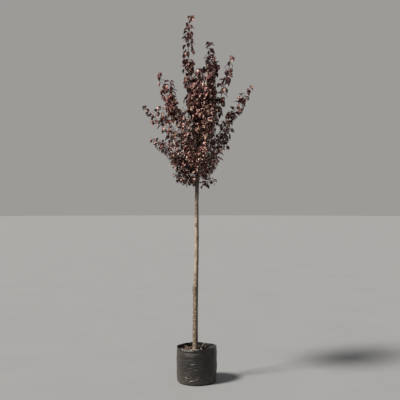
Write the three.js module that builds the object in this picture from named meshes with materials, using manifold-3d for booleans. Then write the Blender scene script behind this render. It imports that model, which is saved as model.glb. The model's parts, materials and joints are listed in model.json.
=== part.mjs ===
// A young purple-leaved cherry plum, grown as a standard tree: a clear stem, an upright head of
// long leafy shoots, and a soft black nursery pot filled with compost.
// Millimetres, +Z up. The origin is the middle of the pot's flat underside.
import * as THREE from "three";
import { mergeVertices } from "three/addons/utils/BufferGeometryUtils.js";
import Module from "manifold-3d";

const wasm = await Module();
wasm.setup();

// Driving dimensions of the pot and its filling
const POT_RADIUS = 163;
const POT_HEIGHT = 285;
const POT_WALL = 3;
const POT_FLOOR = 4;
const POT_SIDES = 32;
const POT_CORNER = 9; // rounding where the wall meets the underside
const POT_CORNER_CUT = 0.3; // where the middle of that rounding lies, as a share of it
const POT_LEVELS = [70, 150, 225, 253]; // bends of the wall, the last at the compost's edge
const POT_BELLY = 2.5; // how far the wall swells halfway up
const POT_TUCK = 3; // how far it draws in at the underside
const POT_PLEATS = [
  { depth: 1.6, count: 3, phase: 0.6 },
  { depth: 1.1, count: 7, phase: 0 },
];
const FOLD_ANGLE = -0.72; // radians, at the front right, where the film's edge is folded in
const FOLD_LEAN = 15; // how far the rim leans in there
const FOLD_NARROWNESS = 24; // the higher, the shorter the stretch of rim that leans in
const FOLD_FOOT = 0.8; // where the lean starts, as a share of the pot's height
const RIM_LIFT = 5; // how much higher the rim stands at the fold
const RIM_LIFT_NARROWNESS = 8;
const RIM_WAVE = { height: 1.5, count: 4, phase: 1 };
const COMPOST_TOP = 262; // flat where the trunk stands
const COMPOST_FLAT = 0.5; // shares of its radius where it is level and where it starts to sink
const COMPOST_SHOULDER = 0.8;
const COMPOST_DIP = 3; // how far it has sunk by the shoulder
const GAP = 0.3; // clearance between neighbouring solids
const WELD = 0.001; // vertices this close are one

// The trunk's axis and girth, from the cut at the compost to the fork
const TRUNK_FOOT = COMPOST_TOP + GAP;
const TRUNK_STATIONS = [
  { x: -10, y: 0, z: TRUNK_FOOT, radius: 31 }, // root flare
  { x: -10, y: 0, z: 276, radius: 26 },
  { x: -10, y: 0, z: 305, radius: 22.5 },
  { x: -11, y: 1, z: 420, radius: 21.2 },
  { x: -10, y: 3, z: 560, radius: 20.8 },
  { x: -9, y: 2, z: 700, radius: 20.6 },
  { x: -9, y: 0, z: 765, radius: 22.4 }, // graft union
  { x: -7, y: 0, z: 795, radius: 20.5 },
  { x: -4, y: 1, z: 835, radius: 17.4 },
  { x: -1, y: 2, z: 960, radius: 16.8 },
  { x: 1, y: 1, z: 1130, radius: 16.4 },
  { x: 1, y: -1, z: 1300, radius: 16 },
  { x: 0, y: -1, z: 1450, radius: 15.6 },
  { x: 3, y: 0, z: 1580, radius: 15.8 }, // the head begins
  { x: 6, y: 2, z: 1690, radius: 14.2 },
  { x: 7, y: 3, z: 1800, radius: 12.4 },
  { x: 5, y: 2, z: 1920, radius: 10.2 },
  { x: 1, y: 0, z: 2040, radius: 8 }, // the fork
];
const TRUNK_SIDES = 10;
const HEAD_FOOT = 1580; // the trunk is clear of leaves below this

// Each shoot is a limb from the trunk at height `foot` to the leaf tip `tip`. `bow` is how far it
// swings out and down from a straight line, `spread` how far its side twigs reach, and `spacing`
// how far apart its leaves stand.
const SHOOTS = [
  { name: "leader", foot: 2040, tip: [-48, -20, 3000], bow: 90, spread: 50, spacing: 20 },
  { name: "back_tall", foot: 1998, tip: [19, 270, 2625], bow: 110, spread: 80, spacing: 17 },
  { name: "second_leader", foot: 1964, tip: [104, 40, 2797], bow: 120, spread: 86, spacing: 16 },
  { name: "left_tall", foot: 1944, tip: [-214, -120, 2444], bow: 140, spread: 75, spacing: 14 },
  { name: "front_tall", foot: 1922, tip: [122, -240, 2572], bow: 80, spread: 80, spacing: 16 },
  { name: "left_whip", foot: 1902, tip: [-314, 90, 2556], bow: 60, spread: 45, spacing: 34 },
  { name: "right_tall", foot: 1880, tip: [292, 110, 2698], bow: 70, spread: 60, spacing: 24 },
  { name: "left_inner", foot: 1858, tip: [-122, -200, 2224], bow: 60, spread: 85, spacing: 18 },
  { name: "back_left", foot: 1838, tip: [-111, 330, 2270], bow: 80, spread: 80, spacing: 20 },
  { name: "left_mid", foot: 1820, tip: [-290, -170, 2240], bow: 35, spread: 70, spacing: 18 },
  { name: "front_right", foot: 1802, tip: [136, -330, 2199], bow: 80, spread: 85, spacing: 20 },
  { name: "right_long", foot: 1786, tip: [442, -60, 2418], bow: 10, spread: 70, spacing: 20 },
  { name: "left_far", foot: 1770, tip: [-433, 60, 2272], bow: 5, spread: 80, spacing: 18 },
  { name: "back_right", foot: 1754, tip: [152, 320, 2345], bow: 90, spread: 85, spacing: 21 },
  { name: "right_low", foot: 1738, tip: [306, 150, 2108], bow: 15, spread: 85, spacing: 18 },
  { name: "front_left", foot: 1722, tip: [-73, -320, 2045], bow: 60, spread: 85, spacing: 18 },
  { name: "left_low", foot: 1706, tip: [-357, -90, 1985], bow: -5, spread: 80, spacing: 15 },
  { name: "left_lowest", foot: 1690, tip: [-262, 150, 1890], bow: 5, spread: 75, spacing: 15 },
  { name: "right_lowest", foot: 1676, tip: [204, -150, 1900], bow: 10, spread: 80, spacing: 18 },
  { name: "back_low", foot: 1662, tip: [-59, 340, 2011], bow: 50, spread: 80, spacing: 19 },
  { name: "front_low", foot: 1648, tip: [67, -330, 1913], bow: 15, spread: 80, spacing: 19 },
];

// Sprays that grow straight from the trunk and fill the head between the boughs
const SPRAYS = [
  { name: "skirt_left", foot: 1640, tip: [-184, -60, 1700], bow: 5, spread: 75, spacing: 16 },
  { name: "skirt_right", foot: 1626, tip: [152, -40, 1655], bow: 5, spread: 75, spacing: 16 },
  { name: "skirt_front", foot: 1632, tip: [20, -125, 1682], bow: 5, spread: 50, spacing: 15 },
  { name: "skirt_back", foot: 1646, tip: [-40, 125, 1676], bow: 5, spread: 50, spacing: 15 },
  { name: "spray_low_front", foot: 1656, tip: [-212, -95, 1797], bow: 10, spread: 60, spacing: 15 },
  { name: "spray_low_back", foot: 1670, tip: [160, 90, 1805], bow: 10, spread: 60, spacing: 18 },
  { name: "spray_low_right", foot: 1700, tip: [160, -70, 1860], bow: 10, spread: 60, spacing: 14 },
  { name: "spray_low_left", foot: 1716, tip: [-160, 110, 1900], bow: 10, spread: 60, spacing: 14 },
  { name: "spray_mid_front", foot: 1762, tip: [-90, -120, 1970], bow: 20, spread: 60, spacing: 18 },
  { name: "spray_mid_right", foot: 1770, tip: [150, 40, 2010], bow: 30, spread: 60, spacing: 18 },
  { name: "spray_mid_left", foot: 1828, tip: [-150, 10, 2110], bow: 30, spread: 60, spacing: 18 },
  { name: "spray_mid_back", foot: 1848, tip: [80, 140, 2210], bow: 30, spread: 60, spacing: 18 },
  { name: "spray_high_front", foot: 1962, tip: [18, -120, 2535], bow: 40, spread: 60, spacing: 17 },
  { name: "spray_high_back", foot: 1940, tip: [-55, 110, 2460], bow: 30, spread: 60, spacing: 18 },
  { name: "spray_high_right", foot: 2014, tip: [140, 20, 2530], bow: 50, spread: 60, spacing: 17 },
];

// The rule of growth. Pairs are the least and most of what chance deals out.
const BOUGH_SHARE = 0.17; // of a shoot's length, before its foliage begins
const BOUGH_SHORTEST = 46;
const BOUGH_SIDES = 6;
const BOUGH_STEPS = 2;
const STEM_SIDES = 5;
const STEM_STEP = 110; // longest stretch of a stem between two bends
const STEM_TIP_RADIUS = 1.4;
const GIRTH_LEAST = 2.2; // a shoot's radius at its foot grows from this with its length
const GIRTH_PER_LENGTH = 0.0043;
const GIRTH_TAPER = 0.85; // under 1, a shoot thins soonest near its foot
const SPACING_SHARES = [0.85, 1.15];
const TWIG_SHARE = 0.16; // of the places on a stem carry a twig, the rest a leaf
const TWIG_LENGTHS = [0.85, 1.25]; // as shares of the shoot's spread
const TWIG_LENGTH_TAPER = 0.6; // how soon twigs shorten towards the tip
const TWIG_SHORTEST = 42;
const TWIG_LEAF_SPACING = 30;
const TWIG_RADIUS = 2;
const TWIG_THINNING = 0.4; // share of its radius that a twig loses by its tip
const TWIG_SIDES = 3;
const TWIG_ANGLE = 48; // degrees from its stem
const TWIG_LAST_LEAF = 0.94; // share of the twig's length where its last leaf grows
const LEAF_ANGLES = [52, 66]; // degrees from its stem
const LEAF_ANGLE_ON_TWIG = 52;
const LEAF_ANGLE_AT_TWIG_TIP = 25;
const FIRST_LEAF = 12; // from the foot of a stem
const FIRST_LEAF_ON_SPRAY = 27; // clear of the trunk
const LEAF_ROOT_DEPTH = 0.5; // from the stem's axis, as a share of its radius
const TIP_LEAF_ROOT = 4; // how deep the leaf at a stem's tip is rooted
const TIP_LEAF_REACH = 0.45; // how far it reaches past the stem, as a share of a leaf
const LEAF_LENGTH = 84; // one solid leaf stands for two or three real ones
const LEAF_SIZES = [0.85, 1.05];
const LEAF_SIZES_ON_TWIG = [0.8, 1.05];
const LEAF_SHRINK = 0.35; // leaves near the tip are this much shorter
const LEAF_WIDTH_SHARE = 0.72; // a pointed outline needs more width than a round one
const LEAF_WIDEST = 0.42; // share of its length from the root to its widest place
const LEAF_RIDGE = 0.24; // and to its thickest place
const LEAF_THICKNESS = 2.8;
const LEAF_FOLD = 0.3; // how steeply each half rises from the midrib
const LEAF_DROOP = 0.16; // how far the tip falls, as a share of the length
const LEAF_SAGS = [0.5, 1.7]; // how strongly its own weight turns it down
const LEAF_TRIES = 5; // ways of hanging that a leaf tries before it is skipped
const LEAF_ROOM = 20; // least distance between the middles of two leaves
const LEAF_ROOT_ZONE = 8; // this near its root a leaf may touch what carries it
const CELL_MARGIN = 2; // how much nearer a leaf stays to its own stem than to any other
const LIMB_CLEARANCE = 2.5;
const FIRST_SEED = 4100;
const SEED_STEP = 37;
const STEM_CHORDS = 14; // straight pieces that stand for a stem when distances are measured
const BOUGH_CHORDS = 5;

const UP = new THREE.Vector3(0, 0, 1);
const RIGHT = new THREE.Vector3(1, 0, 0);
const STEEP = 0.9; // a direction with more rise than this is measured from RIGHT, not UP

const barkMaterial = new THREE.MeshStandardMaterial({ color: 0x6f6055, roughness: 0.85, metalness: 0 });
const boughMaterial = new THREE.MeshStandardMaterial({ color: 0x4a3a36, roughness: 0.8, metalness: 0 });
const leafMaterial = new THREE.MeshStandardMaterial({ color: 0x4a2230, roughness: 0.5, metalness: 0 });
const potMaterial = new THREE.MeshStandardMaterial({ color: 0x2b2b2c, roughness: 0.4, metalness: 0 });
const compostMaterial = new THREE.MeshStandardMaterial({ color: 0x4b3a2c, roughness: 1, metalness: 0 });

const tree = new THREE.Group();

// The same numbers on every run, from 0 up to 1
function seededRandom(seed) {
  let state = seed;
  return () => {
    state = (state * 1664525 + 1013904223) % 4294967296;
    return state / 4294967296;
  };
}

function between(random, [least, most]) {
  return THREE.MathUtils.lerp(least, most, random());
}

// A closed geometry as a solid that can be joined and cut
function solidOf(geometry) {
  const bare = new THREE.BufferGeometry();
  const source = geometry.index ? geometry.toNonIndexed() : geometry;
  bare.setAttribute("position", source.getAttribute("position"));
  const merged = mergeVertices(bare, WELD);
  const mesh = new wasm.Mesh({
    numProp: 3,
    vertProperties: merged.getAttribute("position").array,
    triVerts: new Uint32Array(merged.index.array),
  });
  return new wasm.Manifold(mesh);
}

function geometryOf(solid) {
  const mesh = solid.getMesh();
  const geometry = new THREE.BufferGeometry();
  geometry.setAttribute("position", new THREE.BufferAttribute(mesh.vertProperties, 3));
  geometry.setIndex(new THREE.BufferAttribute(mesh.triVerts, 1));
  return geometry;
}

// The one connected body that matters: scraps and sealed hollows are left out
function mainBody(solid) {
  return solid.decompose().reduce((best, body) => (body.volume() > best.volume() ? body : best));
}

function addPart(name, geometry, material) {
  const mesh = new THREE.Mesh(geometry, material);
  mesh.name = name;
  tree.add(mesh);
}

// Moves every vertex of a geometry to where `place` says
function reshape(geometry, place) {
  const position = geometry.getAttribute("position");
  const vertex = new THREE.Vector3();
  for (let i = 0; i < position.count; i++) {
    vertex.fromBufferAttribute(position, i);
    const moved = place(vertex);
    position.setXYZ(i, moved.x, moved.y, moved.z);
  }
  return geometry;
}

// Where a limb is and which way it faces, at evenly spaced places along a curve, without twist
function framesAlong(curve, steps) {
  const frames = [];
  const across = (Math.abs(curve.getTangent(0).z) > STEEP ? RIGHT : UP).clone();
  for (let i = 0; i <= steps; i++) {
    const along = curve.getTangent(i / steps);
    across.addScaledVector(along, -across.dot(along)).normalize();
    const beside = new THREE.Vector3().crossVectors(across, along);
    frames.push({ centre: curve.getPoint(i / steps), along, across: across.clone(), beside });
  }
  return frames;
}

// A closed many-sided limb: a cylinder bent along its frames, with its radius set along the way
function limb(frames, radiusAt, sides) {
  const steps = frames.length - 1;
  return reshape(new THREE.CylinderGeometry(1, 1, 1, sides, steps), (vertex) => {
    const step = Math.round((vertex.y + 0.5) * steps);
    const { centre, across, beside } = frames[step];
    const radius = radiusAt(step / steps);
    return centre
      .clone()
      .addScaledVector(across, vertex.x * radius)
      .addScaledVector(beside, vertex.z * radius);
  });
}

// The direction out of the middle of one side of a limb, leaning from its axis by an angle
function outOfSide({ along, across, beside }, side, sides, angle) {
  const turn = ((side + 0.5) / sides) * 2 * Math.PI;
  const lean = THREE.MathUtils.degToRad(angle);
  return new THREE.Vector3()
    .addScaledVector(across, Math.sin(turn) * Math.sin(lean))
    .addScaledVector(beside, Math.cos(turn) * Math.sin(lean))
    .addScaledVector(along, Math.cos(lean));
}

// The pot wall's distance from the middle: a soft bag, swelling a little, with shallow upright
// pleats and a rim that leans in where the film is folded over
function potRadius(angle, height) {
  const rise = height / POT_HEIGHT;
  const swelling = POT_BELLY * Math.sin(Math.PI * rise) - POT_TUCK * (1 - rise) ** 4;
  const pleats = POT_PLEATS.reduce(
    (sum, { depth, count, phase }) => sum + depth * Math.sin(count * angle + phase),
    0,
  );
  const atFold = Math.cos((angle - FOLD_ANGLE) / 2) ** FOLD_NARROWNESS;
  const nearRim = Math.max(0, (rise - FOLD_FOOT) / (1 - FOLD_FOOT)) ** 2;
  return POT_RADIUS + swelling + pleats - FOLD_LEAN * atFold * nearRim;
}

function rimLift(angle) {
  const wave = RIM_WAVE.height * Math.sin(RIM_WAVE.count * angle + RIM_WAVE.phase);
  return RIM_LIFT * Math.cos((angle - FOLD_ANGLE) / 2) ** RIM_LIFT_NARROWNESS + wave;
}

// A profile of radius and height, turned round the vertical axis and fitted to the pot's wall.
// What stands at the rim's height follows the rim up and down.
function turned(profile) {
  const points = profile.map(([radius, height]) => new THREE.Vector2(radius, height));
  return reshape(new THREE.LatheGeometry(points, POT_SIDES), ({ x, y: height, z }) => {
    const angle = Math.atan2(-z, x);
    const radius = (Math.hypot(x, z) * potRadius(angle, height)) / POT_RADIUS;
    const lift = height === POT_HEIGHT ? rimLift(angle) : 0;
    return new THREE.Vector3(Math.cos(angle) * radius, Math.sin(angle) * radius, height + lift);
  });
}

function makePot() {
  const inner = POT_RADIUS - POT_WALL;
  const profile = [
    [0, 0],
    [POT_RADIUS - POT_CORNER, 0],
    [POT_RADIUS - POT_CORNER * POT_CORNER_CUT, POT_CORNER * POT_CORNER_CUT],
    [POT_RADIUS, POT_CORNER],
    ...POT_LEVELS.map((height) => [POT_RADIUS, height]),
    [POT_RADIUS, POT_HEIGHT],
    [inner, POT_HEIGHT],
    ...POT_LEVELS.toReversed().map((height) => [inner, height]),
    [inner - POT_CORNER, POT_FLOOR],
    [0, POT_FLOOR],
  ];
  addPart("pot", turned(profile), potMaterial);
}

function makeCompost() {
  const radius = POT_RADIUS - POT_WALL - 2 * GAP;
  const profile = [
    [0, POT_FLOOR + GAP],
    [radius - POT_CORNER - 2, POT_FLOOR + GAP],
    ...POT_LEVELS.map((height) => [radius, height]),
    [radius * COMPOST_SHOULDER, COMPOST_TOP - COMPOST_DIP],
    [radius * COMPOST_FLAT, COMPOST_TOP],
    [0, COMPOST_TOP],
  ];
  addPart("compost", turned(profile), compostMaterial);
}

const trunkAxis = new THREE.CatmullRomCurve3(
  TRUNK_STATIONS.map((station) => new THREE.Vector3(station.x, station.y, station.z)),
);

function trunkRadius(share) {
  const place = share * (TRUNK_STATIONS.length - 1);
  const below = Math.min(Math.floor(place), TRUNK_STATIONS.length - 2);
  const [lower, upper] = [TRUNK_STATIONS[below], TRUNK_STATIONS[below + 1]];
  return THREE.MathUtils.lerp(lower.radius, upper.radius, place - below);
}

function trunkSolid(extra) {
  const frames = framesAlong(trunkAxis, TRUNK_STATIONS.length - 1);
  return solidOf(limb(frames, (share) => trunkRadius(share) + extra, TRUNK_SIDES));
}

// The trunk's axis at a height, found by halving
function trunkPoint(height) {
  let low = 0;
  let high = 1;
  for (let i = 0; i < 40; i++) {
    const middle = (low + high) / 2;
    if (trunkAxis.getPoint(middle).z < height) low = middle;
    else high = middle;
  }
  return trunkAxis.getPoint(low);
}

// A shoot's line: a quadratic curve whose middle swings out and down by the bow
function shootCurve({ foot, tip, bow }) {
  const start = trunkPoint(foot);
  const end = new THREE.Vector3(...tip);
  const chord = end.clone().sub(start);
  const outward = new THREE.Vector3(chord.x, chord.y, 0).normalize();
  outward.addScaledVector(chord, -outward.dot(chord) / chord.lengthSq()).normalize();
  const middle = start.clone().add(end).multiplyScalar(0.5).addScaledVector(outward, bow);
  return new THREE.QuadraticBezierCurve3(start, middle, end);
}

// The stretch of a curve between two shares of its length
class Stretch extends THREE.Curve {
  constructor(curve, from, to) {
    super();
    Object.assign(this, { curve, from, to });
  }

  getPoint(share) {
    const along = THREE.MathUtils.lerp(this.from, this.to, share);
    return this.curve.getPointAt(THREE.MathUtils.clamp(along, 0, 1));
  }
}

// Works out where a shoot's bough ends and where its leafy stem begins and ends
function planShoot(row, index) {
  const isSpray = index >= SHOOTS.length;
  const curve = shootCurve(row);
  const length = curve.getLength();
  const boughLength = isSpray ? 0 : Math.max(BOUGH_SHORTEST, BOUGH_SHARE * length);
  const boughEnd = boughLength / length;
  const stemStart = isSpray ? 0 : boughEnd + GAP / length;
  const stemEnd = 1 - (LEAF_LENGTH * TIP_LEAF_REACH) / length;
  const footRadius = GIRTH_LEAST + GIRTH_PER_LENGTH * length;
  const stem = new Stretch(curve, stemStart, stemEnd);
  return {
    ...row,
    isSpray,
    stem,
    boughEnd,
    stemStart,
    stemEnd,
    stemLength: length * (stemEnd - stemStart),
    radiusAt: (share) => THREE.MathUtils.lerp(footRadius, STEM_TIP_RADIUS, share ** GIRTH_TAPER),
    bough: new Stretch(curve, 0, boughEnd),
    stemAxis: stem.getPoints(STEM_CHORDS),
    seed: FIRST_SEED + SEED_STEP * index,
  };
}

const shoots = [...SHOOTS, ...SPRAYS].map(planShoot);
const boughShoots = shoots.filter((shoot) => !shoot.isSpray);

// What a leaf or twig may not touch: every bough, and the trunk in the head
const limbAxes = boughShoots.map((shoot) => ({
  axis: shoot.bough.getPoints(BOUGH_CHORDS),
  radius: shoot.radiusAt(0),
}));
TRUNK_STATIONS.forEach((station, i) => {
  if (station.z < HEAD_FOOT || i === TRUNK_STATIONS.length - 1) return;
  const axis = [station, TRUNK_STATIONS[i + 1]].map(({ x, y, z }) => new THREE.Vector3(x, y, z));
  limbAxes.push({ axis, radius: station.radius });
});

const nearest = new THREE.Vector3();
const segment = new THREE.Line3();
function distanceToAxis(point, axis) {
  let least = Infinity;
  for (let i = 1; i < axis.length; i++) {
    segment.set(axis[i - 1], axis[i]).closestPointToPoint(point, true, nearest);
    least = Math.min(least, nearest.distanceToSquared(point));
  }
  return Math.sqrt(least);
}

// Whether points stay in a shoot's own space: nearer its stem than any other, and off the limbs
function keepsToItsSpace(points, shoot) {
  const others = shoots.filter((other) => other !== shoot);
  return points.every((point) => {
    const reach = distanceToAxis(point, shoot.stemAxis) + CELL_MARGIN;
    const offLimbs = limbAxes.every(
      ({ axis, radius }) => distanceToAxis(point, axis) > radius + LIMB_CLEARANCE,
    );
    return offLimbs && others.every((other) => distanceToAxis(point, other.stemAxis) > reach);
  });
}

// A leaf blade of eight faces: an octahedron drawn out to a folded, drooping oval
function leafGeometry({ root, along, length }) {
  const side = new THREE.Vector3().crossVectors(along, UP).normalize();
  const normal = new THREE.Vector3().crossVectors(side, along).normalize();
  return reshape(new THREE.OctahedronGeometry(1), (vertex) => {
    const share = vertex.y ? (vertex.y + 1) / 2 : vertex.x ? LEAF_WIDEST : LEAF_RIDGE;
    const forward = share * length;
    const aside = (vertex.x * length * LEAF_WIDTH_SHARE) / 2;
    const droop = LEAF_DROOP * length * share ** 2;
    const raised = (vertex.z * LEAF_THICKNESS) / 2 + LEAF_FOLD * Math.abs(aside) - droop;
    const spine = root.clone().addScaledVector(along, forward);
    return spine.addScaledVector(side, aside).addScaledVector(normal, raised);
  });
}

// Points on a leaf's outline and midrib, clear of its root
function leafPoints(geometry) {
  const corners = [];
  const position = geometry.getAttribute("position");
  for (let i = 0; i < position.count; i++) {
    corners.push(new THREE.Vector3().fromBufferAttribute(position, i));
  }
  const points = [];
  for (let i = 0; i < corners.length; i += 3) {
    const face = [corners[i], corners[i + 1], corners[i + 2]];
    face.forEach((corner, k) => points.push(corner, corner.clone().lerp(face[(k + 1) % 3], 0.5)));
  }
  return points;
}

const leafMiddles = [];

// Grows a leaf out of a stem or twig. Its own weight turns it down, and it tries a few ways of
// hanging until one keeps to the mass's own space and meets nothing else in it.
function growLeaf(mass, { root, outward, length, carrier }) {
  for (let attempt = 0; attempt < LEAF_TRIES; attempt++) {
    const along = outward.clone().addScaledVector(UP, -between(mass.random, LEAF_SAGS)).normalize();
    if (placeLeaf(mass, { root, along, length, carrier })) return;
  }
}

function placeLeaf(mass, { root, along, length, carrier }) {
  const middle = root.clone().addScaledVector(along, 0.5 * length);
  if (leafMiddles.some((other) => other.distanceTo(middle) < LEAF_ROOM)) return false;
  const geometry = leafGeometry({ root, along, length });
  const points = leafPoints(geometry).filter((point) => point.distanceTo(root) > LEAF_ROOT_ZONE);
  if (!keepsToItsSpace(points, mass.shoot)) return false;
  const leaf = solidOf(geometry);
  if (mass.pieces.some((piece) => piece !== carrier && !piece.intersect(leaf).isEmpty())) return false;
  leafMiddles.push(middle);
  mass.pieces.push(leaf);
  return true;
}

// A straight side twig whose leaves leave its three sides in turn
function growTwig(mass, root, along, length) {
  const line = new THREE.LineCurve3(root, root.clone().addScaledVector(along, length));
  if (!keepsToItsSpace(line.getPoints(4).slice(1), mass.shoot)) return false;
  const frames = framesAlong(line, 1);
  const carrier = solidOf(limb(frames, (share) => TWIG_RADIUS * (1 - TWIG_THINNING * share), TWIG_SIDES));
  if (mass.pieces.slice(1).some((piece) => !piece.intersect(carrier).isEmpty())) return false;
  mass.pieces.push(carrier);
  const count = Math.max(1, Math.round(length / TWIG_LEAF_SPACING));
  for (let i = 1; i <= count; i++) {
    const angle = i === count ? LEAF_ANGLE_AT_TWIG_TIP : LEAF_ANGLE_ON_TWIG;
    growLeaf(mass, {
      root: line.getPoint(TWIG_LAST_LEAF * (i / count)),
      outward: outOfSide(frames[0], i, TWIG_SIDES, angle),
      length: LEAF_LENGTH * between(mass.random, LEAF_SIZES_ON_TWIG),
      carrier,
    });
  }
  return true;
}

// A leaf that goes on from the end of a stem to the shoot's tip
function growTipLeaf(mass, shoot, carrier) {
  const root = shoot.stem.getPoint(1 - TIP_LEAF_ROOT / shoot.stemLength);
  const along = new THREE.Vector3(...shoot.tip).sub(root);
  const length = along.length();
  placeLeaf(mass, { root, along: along.normalize(), length, carrier });
}

// One mass of foliage: the leafy stem of a shoot, its side twigs and its leaves, fused. Leaves and
// twigs go round the five-sided stem by two fifths of a turn, as they do on a cherry plum.
function growMass(shoot, trunkGrown) {
  const random = seededRandom(shoot.seed);
  const radiusAt = (share) => shoot.radiusAt(THREE.MathUtils.lerp(shoot.stemStart, shoot.stemEnd, share));
  const steps = Math.ceil(shoot.stemLength / STEM_STEP);
  const frames = framesAlong(shoot.stem, steps);
  const whole = solidOf(limb(frames, radiusAt, STEM_SIDES));
  const carrier = shoot.isSpray ? mainBody(whole.subtract(trunkGrown)) : whole;
  const mass = { shoot, random, pieces: [carrier] };
  growTipLeaf(mass, shoot, carrier);

  let side = Math.floor(STEM_SIDES * random());
  let at = shoot.isSpray ? FIRST_LEAF_ON_SPRAY : FIRST_LEAF;
  while (at < shoot.stemLength) {
    const share = at / shoot.stemLength;
    const frame = frames[Math.floor(share * steps)];
    const root = shoot.stem.getPoint(share);
    const twigLength = shoot.spread * (1 - share) ** TWIG_LENGTH_TAPER * between(random, TWIG_LENGTHS);
    const twigAlong = outOfSide(frame, side, STEM_SIDES, TWIG_ANGLE);
    const wantsTwig = random() < TWIG_SHARE && twigLength > TWIG_SHORTEST;
    if (!wantsTwig || !growTwig(mass, root, twigAlong, twigLength)) {
      const straightOut = outOfSide(frame, side, STEM_SIDES, 90);
      growLeaf(mass, {
        root: root.addScaledVector(straightOut, LEAF_ROOT_DEPTH * radiusAt(share)),
        outward: outOfSide(frame, side, STEM_SIDES, between(random, LEAF_ANGLES)),
        length: LEAF_LENGTH * (1 - LEAF_SHRINK * share ** 3) * between(random, LEAF_SIZES),
        carrier,
      });
    }
    side += 2;
    at += shoot.spacing * between(random, SPACING_SHARES);
  }
  // Welding can part a piece that only just touched, so the main body is picked again after it.
  const fused = mainBody(wasm.Manifold.union(mass.pieces));
  return mainBody(solidOf(geometryOf(fused)));
}

makePot();
makeCompost();

addPart("trunk", geometryOf(trunkSolid(0)), barkMaterial);
const trunkGrown = trunkSolid(GAP);

for (const shoot of boughShoots) {
  const radiusAt = (share) => shoot.radiusAt(share * shoot.boughEnd);
  const whole = solidOf(limb(framesAlong(shoot.bough, BOUGH_STEPS), radiusAt, BOUGH_SIDES));
  addPart(`bough_${shoot.name}`, geometryOf(mainBody(whole.subtract(trunkGrown))), boughMaterial);
}

for (const shoot of shoots) {
  addPart(`foliage_${shoot.name}`, geometryOf(growMass(shoot, trunkGrown)), leafMaterial);
}

export default tree;
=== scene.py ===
"""A young purple-leaved cherry plum in a soft black nursery pot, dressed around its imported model.

Sizes are in millimetres, as in the model's source, and become metres when a mesh is made.
"""

import json
import math
from functools import reduce

import bpy
import numpy as np
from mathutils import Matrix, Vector

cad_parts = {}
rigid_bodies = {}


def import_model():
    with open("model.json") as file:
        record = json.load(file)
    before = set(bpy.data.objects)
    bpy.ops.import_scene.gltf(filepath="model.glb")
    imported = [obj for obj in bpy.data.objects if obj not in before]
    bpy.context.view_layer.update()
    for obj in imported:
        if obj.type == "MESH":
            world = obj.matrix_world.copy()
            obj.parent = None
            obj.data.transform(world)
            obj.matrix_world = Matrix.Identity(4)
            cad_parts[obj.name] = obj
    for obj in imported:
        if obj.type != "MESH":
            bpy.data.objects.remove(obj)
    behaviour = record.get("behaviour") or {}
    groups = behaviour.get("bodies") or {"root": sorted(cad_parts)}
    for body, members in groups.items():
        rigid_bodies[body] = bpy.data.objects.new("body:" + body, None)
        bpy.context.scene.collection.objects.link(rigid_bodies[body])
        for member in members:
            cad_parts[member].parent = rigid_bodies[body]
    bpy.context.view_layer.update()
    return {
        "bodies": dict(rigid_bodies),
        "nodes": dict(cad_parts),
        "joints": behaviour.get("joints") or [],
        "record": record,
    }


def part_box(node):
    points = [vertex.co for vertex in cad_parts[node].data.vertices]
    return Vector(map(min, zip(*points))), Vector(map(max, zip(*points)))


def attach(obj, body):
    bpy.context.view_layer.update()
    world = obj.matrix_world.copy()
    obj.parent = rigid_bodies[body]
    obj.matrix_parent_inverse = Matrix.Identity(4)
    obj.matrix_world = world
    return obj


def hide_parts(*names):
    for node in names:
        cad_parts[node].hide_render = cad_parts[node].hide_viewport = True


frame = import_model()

MM = 0.001
TAU = 2 * math.pi
UP = np.array([0.0, 0.0, 1.0])
RIGHT = np.array([1.0, 0.0, 0.0])
STEEP = 0.9  # a direction with more rise than this is measured from RIGHT, not UP
SEED = 4100

# Camera, at the height and distance that the picture was taken from
CAMERA_PLACE = (0.028, -5.56, 1.488)
CAMERA_LENS = 60.9
CAMERA_SENSOR = 36

# Studio light: a soft key from the upper left, and pale surroundings
KEY_DIRECTION = (-0.557, -0.321, 0.766)
KEY_STRENGTH = 7.8
KEY_ANGLE = 0.22
KEY_COLOUR = (1.0, 0.92, 0.82)
SURROUNDINGS = (0.337, 0.327, 0.314)
FLOOR_SIDES = 96
FLOOR_RADII = (500.0, 3000.0, 12000.0, 60000.0)

# The pot, as in the source
POT_RADIUS = 163
POT_HEIGHT = 285
POT_WALL = 3
POT_BELLY = 2.5
POT_TUCK = 3
POT_PLEATS = [(1.6, 3, 0.6), (1.1, 7, 0)]  # depth, count, phase
FOLD_ANGLE = -0.72
FOLD_LEAN = 15
FOLD_NARROWNESS = 24
FOLD_FOOT = 0.8
RIM_LIFT = 5
RIM_LIFT_NARROWNESS = 8
RIM_WAVE = (1.5, 4, 1)  # height, count, phase
COMPOST_TOP = 262
COMPOST_FLAT = 0.5
COMPOST_SHOULDER = 0.8
COMPOST_DIP = 3
COMPOST_EDGE = 253

# Its film. Angles are in radians from +X, and noise is given as rows of height, size, seed and
# perhaps its stretch along x, y and z.
POT_SIDES = 300
POT_RING_STEP = 2.4
POT_CORNER = 16
SOLE_RADII = (0.02 * POT_RADIUS, 0.5 * POT_RADIUS, POT_RADIUS - 22)
SEAM = 0.4  # over this angle both ends of the film blend, at the back
RELIEF_DEPTH = 12  # what lies further in than this has no relief
FILM_LUMPS = [(1.6, 60, 11), (0.9, 24, 12), (0.4, 9, 16, 2.2, 1, 1)]
RIM_BUCKLE = (3.0, 55, 18)
RIM_UNEVEN = (2.0, 34, 19)
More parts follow.
